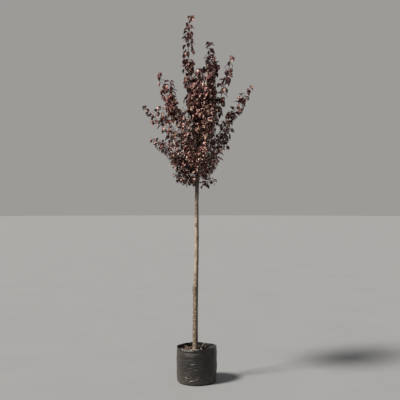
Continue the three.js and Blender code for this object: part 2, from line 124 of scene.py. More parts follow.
# Level wrinkles across the front. A spot is an angle and its width, and a share of the pot's
# height and its width.
WRINKLE_SPOT = (-1.74, 0.6, 0.56, 0.32)
WRINKLE_WANDER = (10, 45, 13)
WRINKLES = (2, 12.5, 14, 3.4, 1, 1)
FINE_WRINKLES = (0.5, 8, 20, 2.8, 1, 1)
WRINKLE_DEPTH = 1.7
RIPPLE_WANDER = (6, 24, 24, 1.6, 1, 1)
RIPPLE_LENGTH = 21
RIPPLE_CHANGE = (0.6, 26, 25, 2.6, 1, 1)
RIPPLE_DEPTH = 1.9
# Slanting creases at the foot, front left
CREASE_SPOT = (-1.98, 0.55, 0.16, 0.14)
CREASE_SLANT = (0.82, -0.57)
CREASES = (2.2, 11, 35, 3.4, 1, 1)
CREASE_DEPTH = 2.5
# The sharpest ones: how far round the wall from +X, in mm, and how high, for both ends
FOOT_CREASES = np.array([
    [-345, 63, -313, 45],
    [-324, 45, -268, 24],
    [-242, 56, -224, 41],
    [-354, 48, -332, 33],
    [-303, 68, -276, 55],
    [-292, 40, -258, 45],
    [-215, 47, -190, 30],
])
CREASE_RISE = 5.5
CREASE_WIDTHS = (3.4, 1.2)  # at the first end, and how much less at the last
# The film swells over the filling and draws in above it, most of all at the front left
SHOULDER = (-1.95, 0.75)  # angle and width
SWELL = (3.2, 230, 15)  # depth, height and width
WAIST = (4.2, 9)  # depth and width, at the top of the filling
WAIST_ELSEWHERE = (1.4, 6)
WAIST_WANDER = (3, 70, 17)
# The hem: where its lean and its roll start, are full, fade and end
HEM_HEIGHT = 12
HEM_SHARES = (0.25, 0.5, 0.75, 1.0)
HEM_ROLL_TURNS = np.linspace(0.15, 1.25, 7) * math.pi
HEM_LEANS = (-2.7, -2.3, -1.72, -1.40)
HEM_ROLLS = (-2.8, -2.4, -1.46, -1.30)
HEM_LEAN = 8.0
HEM_ROLL_LEAST = 0.9
HEM_ROLL = 2.8
HEM_ROLL_CHANGE = (0.3, 19, 27)
HEM_CREASES = (2.4, 13, 26)
HEM_UPRIGHT = (-1.43, 0.13, 7)  # angle, width and depth
# the stretch of the hem whose crest is rubbed pale and painted as a highlight
HEM_WORN_AND_HIGHLIT = (-2.02, -1.38)
LINING_HEIGHTS = (279, 272, 262, 254, 246)
LINING_GAP = 2.5

# The flap at the right of the mouth
FLAP_START = -1.31
FLAP_SWEEP = 2.42
FLAP_GRID = (110, 76)
FLAP_FOOT = (2.0, 2.5)  # how far inside the rim and below it the flap starts
FLAP_EDGE = np.array([  # share of the way along the flap, x, y, z
    [0, 44, -149, 284],
    [0.25, 37, -80, 275],
    [0.5, 34, 6, 268],
    [0.75, 50, 75, 275],
    [1, 70, 142, 284],
])
FLAP_SLANT = (0.8, 0.6)
FLAP_LUMPS = [(8.5, 15, 41, 3, 1, 1), (3.2, 7, 42, 2.2, 1, 1)]
FLAP_CREST = (3, 0.1)  # height and width
FLAP_POCKET = (26, 0.70, 0.17, 0.60, 0.26)  # depth, share inward and along, with their widths
FLAP_CURL = (8, 0.95, 0.06)  # height, share inward and width
FLAP_HOLE = np.array([87, -62, 21, 24])  # x, y and half its width and depth
FLAP_TORN = 0.75  # the share of the hole where no film is left
FLAP_LIP = (3.5, 0.16)  # rise of the film at the hole, and the width of the rise
FLAP_DIP = (2.5, 1.5, 0.25)  # depth, place and width of the dip around the lip
FLAP_THICKNESS = 1.2
FLAP_ROLL = 2.7
FLAP_FOLD = (48, 98, -17)  # first and last place along, and the place inward
# tubes of pale film along the hem and a fold, partly wear and partly painted highlight
WORN_AND_HIGHLIT_HEM = (0.3, 1.2, 0.2)  # radius at the end, what the middle adds, and where the swelling starts
WORN_AND_HIGHLIT_FOLD = (0.5, 1.9, 0)

# The filling
COMPOST_SIDES = 200
COMPOST_GAP = 1.5
COMPOST_WALL_HEIGHTS = (5.0, 60.0, 140.0, 200.0, 240.0)
COMPOST_SUNK = 4  # the wall of the filling stands in from its edge by this
COMPOST_RINGS = np.linspace(1, 0.02, 60)
COMPOST_LUMPS = [(2.2, 22, 21), (1.4, 9, 22), (0.8, 4, 23)]
HOLLOW = (68, -8, 36, 26)  # under the pocket of the flap: x, y, reach and depth
BIT_COUNT = 1500
BIT_REACH = 150
BIT_TILTS = (-0.5, 0.5)
CHIP_LENGTHS = (2.5, 8)
CHIP_WIDTHS = (0.35, 0.8)  # shares of the length
CHIP_THICKNESSES = (0.5, 1.5)
STRAW_LENGTHS = (14, 42)
STRAW_WIDTHS = (0.6, 1.5)
TRUNK_FOOT = (-10, 30)  # x, and the reach around it that stays bare
STRAW_EVERY = 19
STRAW_REACH = 156
LONG_STRAWS = [  # both ends
    ((-102, 118, 263), (-70, 44, 272)),
    ((-94, 34, 265), (-42, 12, 271)),
    ((-70, -60, 262), (-36, 66, 272)),
    ((-104, 30, 259), (-44, -70, 267)),
]
LONG_STRAW_RADII = (2.6, 1.6)
LONG_STRAW_ARCH = 5

# The trunk's axis and girth: x, y, z, radius
TRUNK_STATIONS = np.array([
    [-10, 0, 262.3, 28],
    [-10, 0, 276, 24.5],
    [-10, 0, 305, 22.5],
    [-11, 1, 420, 21.2],
    [-10, 3, 560, 20.8],
    [-9, 2, 700, 20.6],
    [-9, 0, 765, 22.4],
    [-7, 0, 795, 20.5],
    [-4, 1, 835, 17.4],
    [-1, 2, 960, 16.8],
    [1, 1, 1130, 16.4],
    [1, -1, 1300, 16],
    [0, -1, 1450, 15.6],
    [3, 0, 1580, 15.8],
    [6, 2, 1690, 14.2],
    [7, 3, 1800, 12.4],
    [5, 2, 1920, 10.2],
    [1, 0, 2040, 8],
])
HEAD_FOOT = 1580
TRUNK_IN_HEAD = 14  # its radius there

# Its bark. The way round the trunk is an angle times the radius near the marks.
TRUNK_SIDES = 60
TRUNK_RING_STEP = 3.0
TRUNK_BLUR = 9  # rings
FLARE_TOP = 300
FLARE_FADE = 22
ROOT_LOBES = (0.12, 3, 0.8)  # depth, count, phase
BARK_GRAIN = [(0.45, 9, 1, 1, 1, 3), (0.3, 4, 2)]
TRUNK_LUMPS = [(1.1, 45, 3), (0.6, 17, 4, 1, 1, 1.6)] + BARK_GRAIN
GRAFT_LIP = (776, 9, 2.2, 9)  # height, slant, depth and width
GRAFT_BULGE = (748, 3.8, 26)  # height, depth and width
CUTS = (14, 16)  # count, and the trunk's radius near them
CUT_HEIGHTS = (840, 1560)
CUT_SIZES = (5, 8)
CUT_RELIEF = (1.7, 1.3)  # rise of the healed ring and depth of its middle
COLLAR_RADIUS = 14
COLLAR_HIGHEST = 24
COLLAR_SWELL = (0.35, 9)  # share of the bough's radius, and width
PORES = (420, 18)  # count, and the trunk's radius near them
PORE_HEIGHTS = (290, 1700)
PORE_LENGTHS = (2.5, 6)
PORE_RELIEF = (0.7, 2.6)  # rise and width
BOUGH_SIDES = 20
BOUGH_RING_STEP = 5
BOUGH_COLLAR = (0.35, 22)  # share of the radius, and the length over which it fades
BOUGH_GRAIN = [(0.27, 9, 1, 1, 1, 3), (0.18, 4, 2), (0.3, 20, 5)]
STEM_GRAIN = (0.25, 7, 6)

# Each shoot: name, height of its foot on the trunk, its tip, its bow, the spread of its side
# twigs, the spacing of its leaves in the source, and how many times that they stand apart here
SHOOTS = [
    ("leader", 2040, (-48, -20, 3000), 90, 50, 20, 1.1),
    ("back_tall", 1998, (19, 270, 2625), 110, 80, 17, 1),
    ("second_leader", 1964, (104, 40, 2797), 120, 86, 16, 1.1),
    ("left_tall", 1944, (-214, -120, 2444), 140, 75, 14, 1.2),
    ("front_tall", 1922, (122, -240, 2572), 80, 80, 16, 1),
    ("left_whip", 1902, (-314, 90, 2556), 60, 45, 34, 1.3),
    ("right_tall", 1880, (292, 110, 2698), 70, 60, 24, 1.3),
    ("left_inner", 1858, (-122, -200, 2224), 60, 85, 18, 2.2),
    ("back_left", 1838, (-111, 330, 2270), 80, 80, 20, 2.3),
    ("left_mid", 1820, (-290, -170, 2240), 35, 70, 18, 1.5),
    ("front_right", 1802, (136, -330, 2199), 80, 85, 20, 1),
    ("right_long", 1786, (442, -60, 2418), 10, 70, 20, 1.5),
    ("left_far", 1770, (-433, 60, 2272), 5, 80, 18, 1.5),
    ("back_right", 1754, (152, 320, 2345), 90, 85, 21, 1.8),
    ("right_low", 1738, (306, 150, 2108), 15, 85, 18, 1.3),
    ("front_left", 1722, (-73, -320, 2045), 60, 85, 18, 1.2),
    ("left_low", 1706, (-357, -90, 1985), -5, 80, 15, 1.2),
    ("left_lowest", 1690, (-262, 150, 1890), 5, 75, 15, 1.2),
    ("right_lowest", 1676, (204, -150, 1900), 10, 80, 18, 1.4),
    ("back_low", 1662, (-59, 340, 2011), 50, 80, 19, 1),
    ("front_low", 1648, (67, -330, 1913), 15, 80, 19, 1),
]
SPRAYS = [
    ("skirt_left", 1640, (-184, -60, 1700), 5, 75, 16, 1),
    ("skirt_right", 1626, (152, -40, 1655), 5, 75, 16, 1.4),
    ("skirt_front", 1632, (20, -125, 1682), 5, 50, 15, 1.4),
    ("skirt_back", 1646, (-40, 125, 1676), 5, 50, 15, 1),
    ("spray_low_front", 1656, (-212, -95, 1797), 10, 60, 15, 1),
    ("spray_low_back", 1670, (160, 90, 1805), 10, 60, 18, 1),
    ("spray_low_right", 1700, (160, -70, 1860), 10, 60, 14, 1),
    ("spray_low_left", 1716, (-160, 110, 1900), 10, 60, 14, 1),
    ("spray_mid_front", 1762, (-90, -120, 1970), 20, 60, 18, 1),
    ("spray_mid_right", 1770, (150, 40, 2010), 30, 60, 18, 2.2),
    ("spray_mid_left", 1828, (-150, 10, 2110), 30, 60, 18, 2.6),
    ("spray_mid_back", 1848, (80, 140, 2210), 30, 60, 18, 1),
    ("spray_high_front", 1962, (18, -120, 2535), 40, 60, 17, 1),
    ("spray_high_back", 1940, (-55, 110, 2460), 30, 60, 18, 1.8),
    ("spray_high_right", 2014, (140, 20, 2530), 50, 60, 17, 1.3),
]

# Where the head is more open: x, z, half the width and height, and the share of the leaves that
# is left out there
OPENINGS = [
    [-72, 2680, 62, 52, 0.60],
    [-104, 2334, 36, 70, 0.65],
    [164, 2050, 38, 66, 0.60],
    [162, 1693, 36, 40, 0.65],
    [-138, 2086, 70, 62, 0.45],
    [-308, 2092, 32, 34, 0.60],
    [176, 2520, 62, 52, 0.40],
]
BARE_FOOT = (6, 15, 1702)  # no leaf hangs before the trunk here: x, half the width, and the top

# The rule of growth, as in the source, with its finer parts
BOUGH_SHARE = 0.17
BOUGH_SHORTEST = 46
GIRTH_LEAST = 2.2
GIRTH_PER_LENGTH = 0.0043
GIRTH_TAPER = 0.85
CURVE_POINTS = 200
LINE_POINTS = 400
AXIS_POINTS = 15
STEM_TIP_RADIUS = 0.9
STEM_TIP_GAP = 12  # from the end of the stem to the tip of the shoot's last leaf
SPACING_SHARE = 0.56  # real leaves stand closer than the source's larger ones
SPACING_SHARES = (0.8, 1.2)
TWIG_SHARE = 0.2
SPUR_SHARE = 0.4
TWIG_LENGTHS = (0.75, 1.3)
TWIG_LENGTH_TAPER = 0.6
TWIG_SHORTEST = 30
TWIG_RADII = (1.5, 0.7)
TWIG_POINTS = 6
TWIG_LIFTS = (0.0, 0.5)
TWIG_STRAY = 0.15
TWIG_BEND = 0.4
TWIG_SLACK = 4
TWIG_FIRST_LEAF = 8
TWIG_LEAF_TAPER = 0.15
TWIG_END = (2, 22, 0.85)  # leaves, their angle, and their share of the plain length
TWIG_ANGLES = (38, 55)
TWIG_LEAF_SPACING = (10, 15)
SPUR_LENGTHS = (8, 20)
SPUR_ANGLE = 62
SPUR_LAST = 0.85  # share of the stem
SPUR_RADII = (1.6, 1.1)
SPUR_LEAVES = (2, 5)  # fewest, and one more than the most
SPUR_LEAF_ANGLES = (25, 70)
SPUR_HEIGHTS = (1652, 1990, 8)  # first, last and step along the trunk
TRUNK_SPUR_LENGTHS = (14, 46)
TRUNK_SPUR_LIFTS = (0.2, 0.9)
TRUNK_SPUR_LEAVES = (3, 6)
TRUNK_SPUR_LEAF_ANGLES = (20, 75)
TRUNK_SPUR_SHARE = 0.2  # the tints that they take are those at this share of a shoot
STEM_RING_STEP = 9
STEM_FIRST_LEAF = (6, 22)  # on a bough's stem, and on one that leaves the trunk
STEM_TIP_LEAVES = 4
STEM_TIP_LEAF_LENGTH = 40
STEM_TIP_ANGLES = (12, 8)  # of the first leaf, and what each further one adds
LEAF_ANGLES = (45, 72)
LEAF_SAGS = (-0.3, 0.8)
LEAF_STRAY = 0.12
LEAF_HANGS = (0.0, 0.85)  # added to the sag of low leaves and of high ones
LEAF_TRIES = 4
LEAF_LENGTHS = (46, 64)
# Up to the first height leaves are small and close, and from the second they are whole
LEAF_HEIGHTS = (1900, 2350)
LOW_LENGTH = 0.64  # as shares of the upper leaves' length and spacing
LOW_SPACING = 0.62
LEAF_SHRINK = 0.3
# What differs from leaf to leaf: a range, or the usual distance from 0
LEAF_TRAITS = {
    "width": (0.62, 0.77),
    "roll": 0.35,
    "wave": (0.6, 2.6),
    "phase": (0, TAU),
    "fold": (0.30, 0.95),
    "cup": (-0.2, 0.6),
    "droop": (0.15, 0.62),
    "sway": 0.05,
}
LEAF_PROBE = np.array([0.45, 0.45, 0.75, 1.0]), np.array([-1.0, 1.0, 0, 0])  # shares, asides
# A blade's points: share of its length, and place across it from -1 to 1
BLADE_ROWS = np.array([0.07, 0.18, 0.32, 0.47, 0.62, 0.77, 0.9])
BLADE_COLUMNS = np.array([-1, -0.52, 0, 0.52, 1])
BLADE_WAVES = 1.5
BLADE_CUP = 14
PETIOLES = (8, 15)
PETIOLE_RADIUS = 0.6
SPACE_SLACK = 14  # how far a leaf may reach past the middle between its stem and the next
REACH_SLACK = 12  # and past the box of the solid that it stands for
LIMB_CLEARANCE = 2
STEM_SIDES = 8
TWIG_SIDES = 5
STEM_TURN = 2 * TAU / 5  # leaves go round a stem by two fifths of a turn
END_TURN = 2.4  # and round the end of a twig by the golden angle

# Each tint's deep and light colour and its sheen
LEAF_LOOKS = {
    "dark": ((0.027, 0.0040, 0.0040), (0.046, 0.0080, 0.0080), 0.12),
    "wine": ((0.076, 0.0185, 0.0180), (0.127, 0.035, 0.0335), 0.44),
    "bronze": ((0.088, 0.046, 0.024), (0.138, 0.075, 0.041), 0.36),
    "young": ((0.088, 0.031, 0.0305), (0.139, 0.054, 0.0525), 0.48),
}
TINTS = list(LEAF_LOOKS)
TINT_CHANGE = 0.2  # the chance that the next leaf on a stem starts another tint
# The tints that can come on a stretch of a shoot, and the chance below which each one does. The
# tips are reddest, and the leaves deep in the head are greenest.
TINT_RULES = [
    ("young", 0.9, 2, 0.6),
    ("young", 0.6, 2, 0.2),
    ("bronze", -1, 0.45, 0.22),
    ("wine", -1, 2, 0.55),
    ("dark", -1, 2, 2),
]


# Meshes

class Gathered:
    """Vertices and faces for one joined mesh."""

    def __init__(self):
        self.points, self.faces, self.count = [], [], 0

    def add(self, points, *groups):
        """Adds points and groups of faces, whose last axis is the corners of a face."""
        points = np.asarray(points, float).reshape(-1, 3)
        for faces in map(np.asarray, groups):
            self.faces += (faces.reshape(-1, faces.shape[-1]) + self.count).tolist()
        self.points.append(points)
        self.count += len(points)


def add_object(name, data):
    made = bpy.data.objects.new(name, data)
    bpy.context.scene.collection.objects.link(made)
    return made


def make_object(name, gathered, material):
    mesh = bpy.data.meshes.new(name)
    mesh.from_pydata(np.concatenate(gathered.points) * MM, [], gathered.faces, shade_flat=False)
    mesh.validate()
    mesh.materials.append(material)
    return add_object(name, mesh)


def make_piece(name, gathered, material, nodes):
    piece = make_object(name, gathered, material)
    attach(piece, "root")
    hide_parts(*nodes)


def make_skin(name, rings, material, node):
    """A piece that is one closed skin of rings."""
    rings = np.array(rings)
    gathered = Gathered()
    add_rings(gathered, rings, rings[0].mean(0), rings[-1].mean(0))
    make_piece(name, gathered, material, [node])


def unit(vectors):
    return vectors / np.maximum(np.linalg.norm(vectors, axis=-1, keepdims=True), 1e-12)


def frames_along(points):
    """Directions along, across and beside a line at each of its points, without twist."""
    along = unit(np.gradient(points, axis=0))
    across = RIGHT if abs(along[0, 2]) > STEEP else UP
    sides = []
    for direction in along:
        across = unit(across - direction * (across @ direction))
        sides.append(across)
    across = np.array(sides)
    return along, across, np.cross(across, along)


def tube(gathered, points, radii, sides, *grain):
    """A closed limb round a line of points, with noise on its skin."""
    _, across, beside = frames_along(points)
    turns = np.arange(sides) * TAU / sides
    out = across[:, None] * np.sin(turns)[:, None] + beside[:, None] * np.cos(turns)[:, None]
    surface = points[:, None] + out * np.asarray(radii)[:, None, None]
    if grain:
        surface = surface + out * rough(surface, *grain)[..., None]
    add_rings(gathered, surface, points[0], points[-1])


def grid_quads(rows, columns, closed):
    """The quads of a grid of points, whose last column meets the first one if it is closed."""
    column = np.arange(columns if closed else columns - 1)
    here = (np.arange(rows - 1) * columns)[:, None] + column
    after = here - column + (column + 1) % columns
    return np.stack([here, after, after + columns, here + columns], -1)


def add_rings(gathered, rings, foot, tip):
    """Joins rings of points into a skin, closed at both ends by a fan."""
    steps, sides = rings.shape[:2]
    row = np.arange(sides)
    after = (row + 1) % sides
    last = (steps - 1) * sides
    middle = steps * sides
    foot_fan = np.stack([np.full(sides, middle), after, row], -1)
    tip_fan = np.stack([np.full(sides, middle + 1), last + row, last + after], -1)
    points = np.concatenate([rings.reshape(-1, 3), [foot], [tip]])
    gathered.add(points, grid_quads(steps, sides, True), foot_fan, tip_fan)


# Smooth noise

def lattice(cells, seed):
    """A number from -1 to 1 for each whole-numbered place."""
    mixed = cells[..., 0] * 73856093 ^ cells[..., 1] * 19349663 ^ cells[..., 2] * 83492791
    mixed = (mixed + seed * 2654435761) & 0xFFFFFFFF
    mixed = ((mixed ^ (mixed >> 15)) * 2246822519) & 0xFFFFFFFF
    mixed = ((mixed ^ (mixed >> 13)) * 3266489917) & 0xFFFFFFFF
    return (mixed ^ (mixed >> 16)) / 2147483648.0 - 1


def noise(points, scale, seed):
    """Smooth noise from -1 to 1, with features about `scale` wide."""
    places = np.asarray(points, float) / scale
    cells = np.floor(places).astype(np.int64)
    inside = places - cells
    inside = inside * inside * (3 - 2 * inside)
    total = 0
    for corner in np.ndindex(2, 2, 2):
        share = np.prod(np.where(corner, inside, 1 - inside), axis=-1)
        total = total + share * lattice(cells + np.array(corner), seed)
    return total


def rough(points, *rows):
    """A sum of noises, each given by its height, size, seed and perhaps its stretch."""
    return sum(height * noise(points / (stretch or 1), size, seed)
               for height, size, seed, *stretch in rows)


def bump(distance, width):
    """A smooth hill of height 1 that fades out at about twice its width."""
    return np.exp(-((distance / width) ** 2))


# Places

def around(angle, radius, height):
    """Places round the vertical axis."""
    parts = np.broadcast_arrays(np.cos(angle) * radius, np.sin(angle) * radius, height)
    return np.stack(parts, -1)


def angle_from(angle, middle):
    """How far an angle is from another, the shorter way round."""
    return np.angle(np.exp(1j * (angle - middle)))


def slanted(points, slant):
    """Points turned in plan by an angle given as its cosine and sine."""
    cosine, sine = slant
    return points @ np.array([[cosine, -sine, 0], [sine, cosine, 0], [0, 0, 1]]).T


def between(random, pair):
    return pair[0] + (pair[1] - pair[0]) * random.random()


def between_rows(wanted, places, rows):
    """Rows of numbers between those that are given at some places."""
    return np.stack([np.interp(wanted, places, column) for column in rows.T], -1)


# Where the limbs run

def arc_points(curve_points, count):
    """Evenly spaced points on a line."""
    steps = np.linalg.norm(np.diff(curve_points, axis=0), axis=1)
    along = np.concatenate([[0], np.cumsum(steps)])
    return between_rows(np.linspace(0, along[-1], count), along, curve_points)


def trunk_at(heights):
    """The trunk's axis and radius at some heights."""
    stations = between_rows(heights, TRUNK_STATIONS[:, 2], TRUNK_STATIONS)
    return stations[..., :3], stations[..., 3]


def shoot_line(foot, tip, bow):
    """A quadratic curve whose middle swings out and down by the bow."""
    start = trunk_at(foot)[0]
    end = np.array(tip, float)
    chord = end - start
    outward = unit(np.array([chord[0], chord[1], 0]))
    outward = unit(outward - chord * (outward @ chord) / (chord @ chord))
    middle = (start + end) / 2 + outward * bow
    share = np.linspace(0, 1, CURVE_POINTS)[:, None]
    return (1 - share) ** 2 * start + 2 * share * (1 - share) * middle + share**2 * end


class Shoot:
    """A limb from the trunk to its tip: a bare bough, unless it is a spray, and then its stem."""

    def __init__(self, row, is_spray, index):
        self.name, foot, tip, bow, self.spread, self.spacing, self.looser = row
        self.node = "foliage_" + self.name
        self.random = np.random.default_rng(SEED + index)
        line = shoot_line(foot, tip, bow)
        self.length = np.linalg.norm(np.diff(line, axis=0), axis=1).sum()
        self.is_spray = is_spray
        bough_share = max(BOUGH_SHORTEST, BOUGH_SHARE * self.length) / self.length
        self.bough_end = 0 if is_spray else bough_share
        self.stem_end = 1 - STEM_TIP_GAP / self.length
        self.foot_radius = GIRTH_LEAST + GIRTH_PER_LENGTH * self.length
        self.line = arc_points(line, LINE_POINTS)
        self.axis = self.stretch(self.bough_end, 1, AXIS_POINTS)

    def at(self, share):
        place = np.asarray(share) * (len(self.line) - 1)
        return between_rows(place, np.arange(len(self.line)), self.line)

    def stretch(self, first, last, count):
        return self.at(np.linspace(first, last, count))

    def radius_at(self, share):
        thinned = np.asarray(share) ** GIRTH_TAPER
        return self.foot_radius + (STEM_TIP_RADIUS - self.foot_radius) * thinned

    def frame_at(self, share):
        """The directions along, across and beside the shoot at one place."""
        line = self.stretch(max(share - 0.01, 0), min(share + 0.01, 1), 3)
        along, across, beside = frames_along(line)
        return along[1], across[1], beside[1]


shoots = [Shoot(row, False, i) for i, row in enumerate(SHOOTS)]
shoots += [Shoot(row, True, i + len(SHOOTS)) for i, row in enumerate(SPRAYS)]


def leaning_out(frame, turn, angle):
    """A direction that leans from a limb's axis by an angle in degrees, on the side `turn`."""
    along, across, beside = frame
    lean = math.radians(angle)
    out = across * math.sin(turn) + beside * math.cos(turn)
    return out * math.sin(lean) + along * math.cos(lean)


# The trunk and boughs

def make_trunk(material):
    heights = np.arange(TRUNK_STATIONS[0, 2], TRUNK_STATIONS[-1, 2], TRUNK_RING_STEP)
    axis, radius = trunk_at(heights)
    padded = np.pad(radius, TRUNK_BLUR // 2, mode="edge")
    blurred = np.convolve(padded, np.ones(TRUNK_BLUR) / TRUNK_BLUR, "valid")
    radius = np.where(heights < FLARE_TOP, radius, blurred)
    turns = np.arange(TRUNK_SIDES) * TAU / TRUNK_SIDES
    out = around(turns, 1, 0)
    depth, count, phase = ROOT_LOBES
    foot = np.exp(-(heights - heights[0]) / FLARE_FADE)[:, None]
    lobes = depth * foot * np.sin(count * turns + phase)
    rings = axis[:, None] + out * (radius[:, None] * (1 + lobes))[..., None]
    height, turn = np.meshgrid(heights, turns, indexing="ij")
    lumps = rough(rings, *TRUNK_LUMPS)
    # the graft union bulges to the left, and heals in a slanting lip
    level, slant, depth, width = GRAFT_LIP
    lip = height - level - slant * np.cos(turn - 0.5)
    lumps += depth * bump(lip, width) * (0.7 + 0.3 * np.cos(turn - math.pi))
    level, depth, width = GRAFT_BULGE
    lumps += depth * bump(height - level, width) * np.clip(np.cos(turn - math.pi - 0.3), 0, 1)
    # old cuts
    random = np.random.default_rng(SEED)
    count, girth = CUTS
    for _ in range(count):
        z, where, size = random.uniform(*CUT_HEIGHTS), random.uniform(0, TAU), random.uniform(*CUT_SIZES)
        reach = np.hypot(angle_from(turn, where) * girth, (height - z) * 0.8)
        lumps += CUT_RELIEF[0] * bump(reach, size) - CUT_RELIEF[1] * bump(reach, size * 0.45)
    # the collars of the boughs
    for shoot in shoots:
        heading = shoot.at(0.12) - shoot.at(0)
        way = angle_from(turn, math.atan2(heading[1], heading[0])) * COLLAR_RADIUS
        rise = COLLAR_RADIUS * heading[2] / max(math.hypot(heading[0], heading[1]), 1)
        level = shoot.at(0)[2] + min(rise, COLLAR_HIGHEST)
        share, width = COLLAR_SWELL
        lumps += share * shoot.foot_radius * bump(np.hypot(way, (height - level) * 0.7), width)
    # breathing pores: short level welts
    count, girth = PORES
    rise, width = PORE_RELIEF
    for _ in range(count):
        z, where = random.uniform(*PORE_HEIGHTS), random.uniform(0, TAU)
        half = random.uniform(*PORE_LENGTHS)
        lumps += rise * bump(angle_from(turn, where) * girth, half) * bump(height - z, width)
    gathered = Gathered()
    add_rings(gathered, rings + out * lumps[..., None], axis[0], axis[-1])
    make_piece("trunk_bark", gathered, material, ["trunk"])


def make_boughs(material):
    gathered = Gathered()
    boughs = [shoot for shoot in shoots if not shoot.is_spray]
    for shoot in boughs:
        length = shoot.bough_end * shoot.length
        shares = np.linspace(0, shoot.bough_end, max(6, int(length / BOUGH_RING_STEP)))
        swell, fade = BOUGH_COLLAR
        collar = 1 + swell * np.exp(-shares * shoot.length / fade)
        tube(gathered, shoot.at(shares), shoot.radius_at(shares) * collar, BOUGH_SIDES, *BOUGH_GRAIN)
    nodes = ["bough_" + shoot.name for shoot in boughs]
    make_piece("bough_bark", gathered, material, nodes)


# Twigs and leaves

twigs = Gathered()
leaf_rows = []  # foot, outward direction, length, shoot's index, tint's index, a chance


def add_leaf(index, foot, outward, length, tint, random):
    leaf_rows.append((foot, outward, length, index, tint, random.integers(1 << 30) / (1 << 30)))


def leaf_gap(shoot, height):
    """How much further apart than the plain spacing a shoot's leaves stand at a height."""
    return shoot.looser * float(np.interp(height, LEAF_HEIGHTS, (LOW_SPACING, 1)))


def pick_tint(share, random):
    """The index of the first tint whose stretch and chance fit."""
    chance = random.random()
    fitting = (name for name, low, high, most in TINT_RULES if low < share < high and chance < most)
    return TINTS.index(next(fitting))


def add_twig(index, foot, along, length, tint):
    """A side twig that bends up to the light and carries its own leaves, if it has room."""
    shoot = shoots[index]
    random = shoot.random
    lift = UP * between(random, TWIG_LIFTS) + unit(random.normal(size=3)) * TWIG_STRAY
    share = np.linspace(0, 1, TWIG_POINTS)[:, None]
    line = foot + length * (share * along + share**2 * lift * TWIG_BEND)
    if not keeps_to_its_space(line[2:][None], np.array([index]), TWIG_SLACK)[0]:
        return False
    tube(twigs, line, np.linspace(*TWIG_RADII, TWIG_POINTS), TWIG_SIDES)
    frames = list(zip(*frames_along(line)))
    turn = random.uniform(0, TAU)
    at = TWIG_FIRST_LEAF
    while at < length:
        place = at / length * (TWIG_POINTS - 1)
        step = min(int(place), TWIG_POINTS - 2)
        spot = line[step] + (line[step + 1] - line[step]) * (place - step)
        outward = leaning_out(frames[step], turn, between(random, LEAF_ANGLES))
        size = between(random, LEAF_LENGTHS) * (1 - TWIG_LEAF_TAPER * at / length)
        add_leaf(index, spot, outward, size, tint, random)
        turn += STEM_TURN
        at += between(random, TWIG_LEAF_SPACING) * leaf_gap(shoot, spot[2])
    count, angle, share = TWIG_END
    for k in range(count):
        outward = leaning_out(frames[-1], turn + k * END_TURN, angle)
        add_leaf(index, line[-1], outward, between(random, LEAF_LENGTHS) * share, tint, random)
    return True


def add_spur(index, line, counts, angles, shrink, tint, random):
    """A short straight spur with a tuft of leaves at its end."""
    tube(twigs, line, np.linspace(*SPUR_RADII, len(line)), TWIG_SIDES)
    frame = list(zip(*frames_along(line)))[-1]
    spin = random.uniform(0, TAU)
    for k in range(random.integers(*counts)):
        outward = leaning_out(frame, spin + k * END_TURN, between(random, angles))
        add_leaf(index, line[-1], outward, between(random, LEAF_LENGTHS) * shrink, tint, random)


def grow_shoot(index):
    """The stem of a shoot with its twigs, spurs and leaves, dealt out from foot to tip."""
    shoot = shoots[index]
    random = shoot.random
    stem_length = shoot.length * (shoot.stem_end - shoot.bough_end)
    count = max(8, int(stem_length / STEM_RING_STEP))
    shares = np.linspace(shoot.bough_end, shoot.stem_end, count)
    tube(twigs, shoot.at(shares), shoot.radius_at(shares), STEM_SIDES, STEM_GRAIN)
    turn = random.uniform(0, TAU)
    at = STEM_FIRST_LEAF[shoot.is_spray]
    tint = pick_tint(0, random)
    while at < stem_length:
        local = at / stem_length
        share = shoot.bough_end + (shoot.stem_end - shoot.bough_end) * local
        spot, frame = shoot.at(share), shoot.frame_at(share)
        radius = float(shoot.radius_at(share))
        shrink = 1 - LEAF_SHRINK * local**3
        if random.random() < TINT_CHANGE:
            tint = pick_tint(local, random)
        chance = random.random()
        twig_length = shoot.spread * (1 - local) ** TWIG_LENGTH_TAPER * between(random, TWIG_LENGTHS)
        grown = False
        if chance < TWIG_SHARE and twig_length > TWIG_SHORTEST:
            along = leaning_out(frame, turn, between(random, TWIG_ANGLES))
            grown = add_twig(index, spot, along, twig_length, pick_tint(local, random))
        if not grown and chance < TWIG_SHARE + SPUR_SHARE and local < SPUR_LAST:
            length = between(random, SPUR_LENGTHS) + radius
            line = spot + leaning_out(frame, turn, SPUR_ANGLE) * np.linspace(0, length, 4)[:, None]
            add_spur(index, line, SPUR_LEAVES, SPUR_LEAF_ANGLES, shrink, tint, random)
        elif not grown:
            foot = spot + leaning_out(frame, turn, 90) * radius * 0.7
            outward = leaning_out(frame, turn, between(random, LEAF_ANGLES))
            add_leaf(index, foot, outward, between(random, LEAF_LENGTHS) * shrink, tint, random)
        turn += STEM_TURN
        gap = shoot.spacing * SPACING_SHARE * leaf_gap(shoot, spot[2])
        at += gap * between(random, SPACING_SHARES)
    tip, frame = shoot.at(shoot.stem_end), shoot.frame_at(shoot.stem_end)
    for k in range(STEM_TIP_LEAVES):
        outward = leaning_out(frame, turn + k * END_TURN, STEM_TIP_ANGLES[0] + STEM_TIP_ANGLES[1] * k)
        add_leaf(index, tip, outward, STEM_TIP_LEAF_LENGTH, TINTS.index("young"), random)


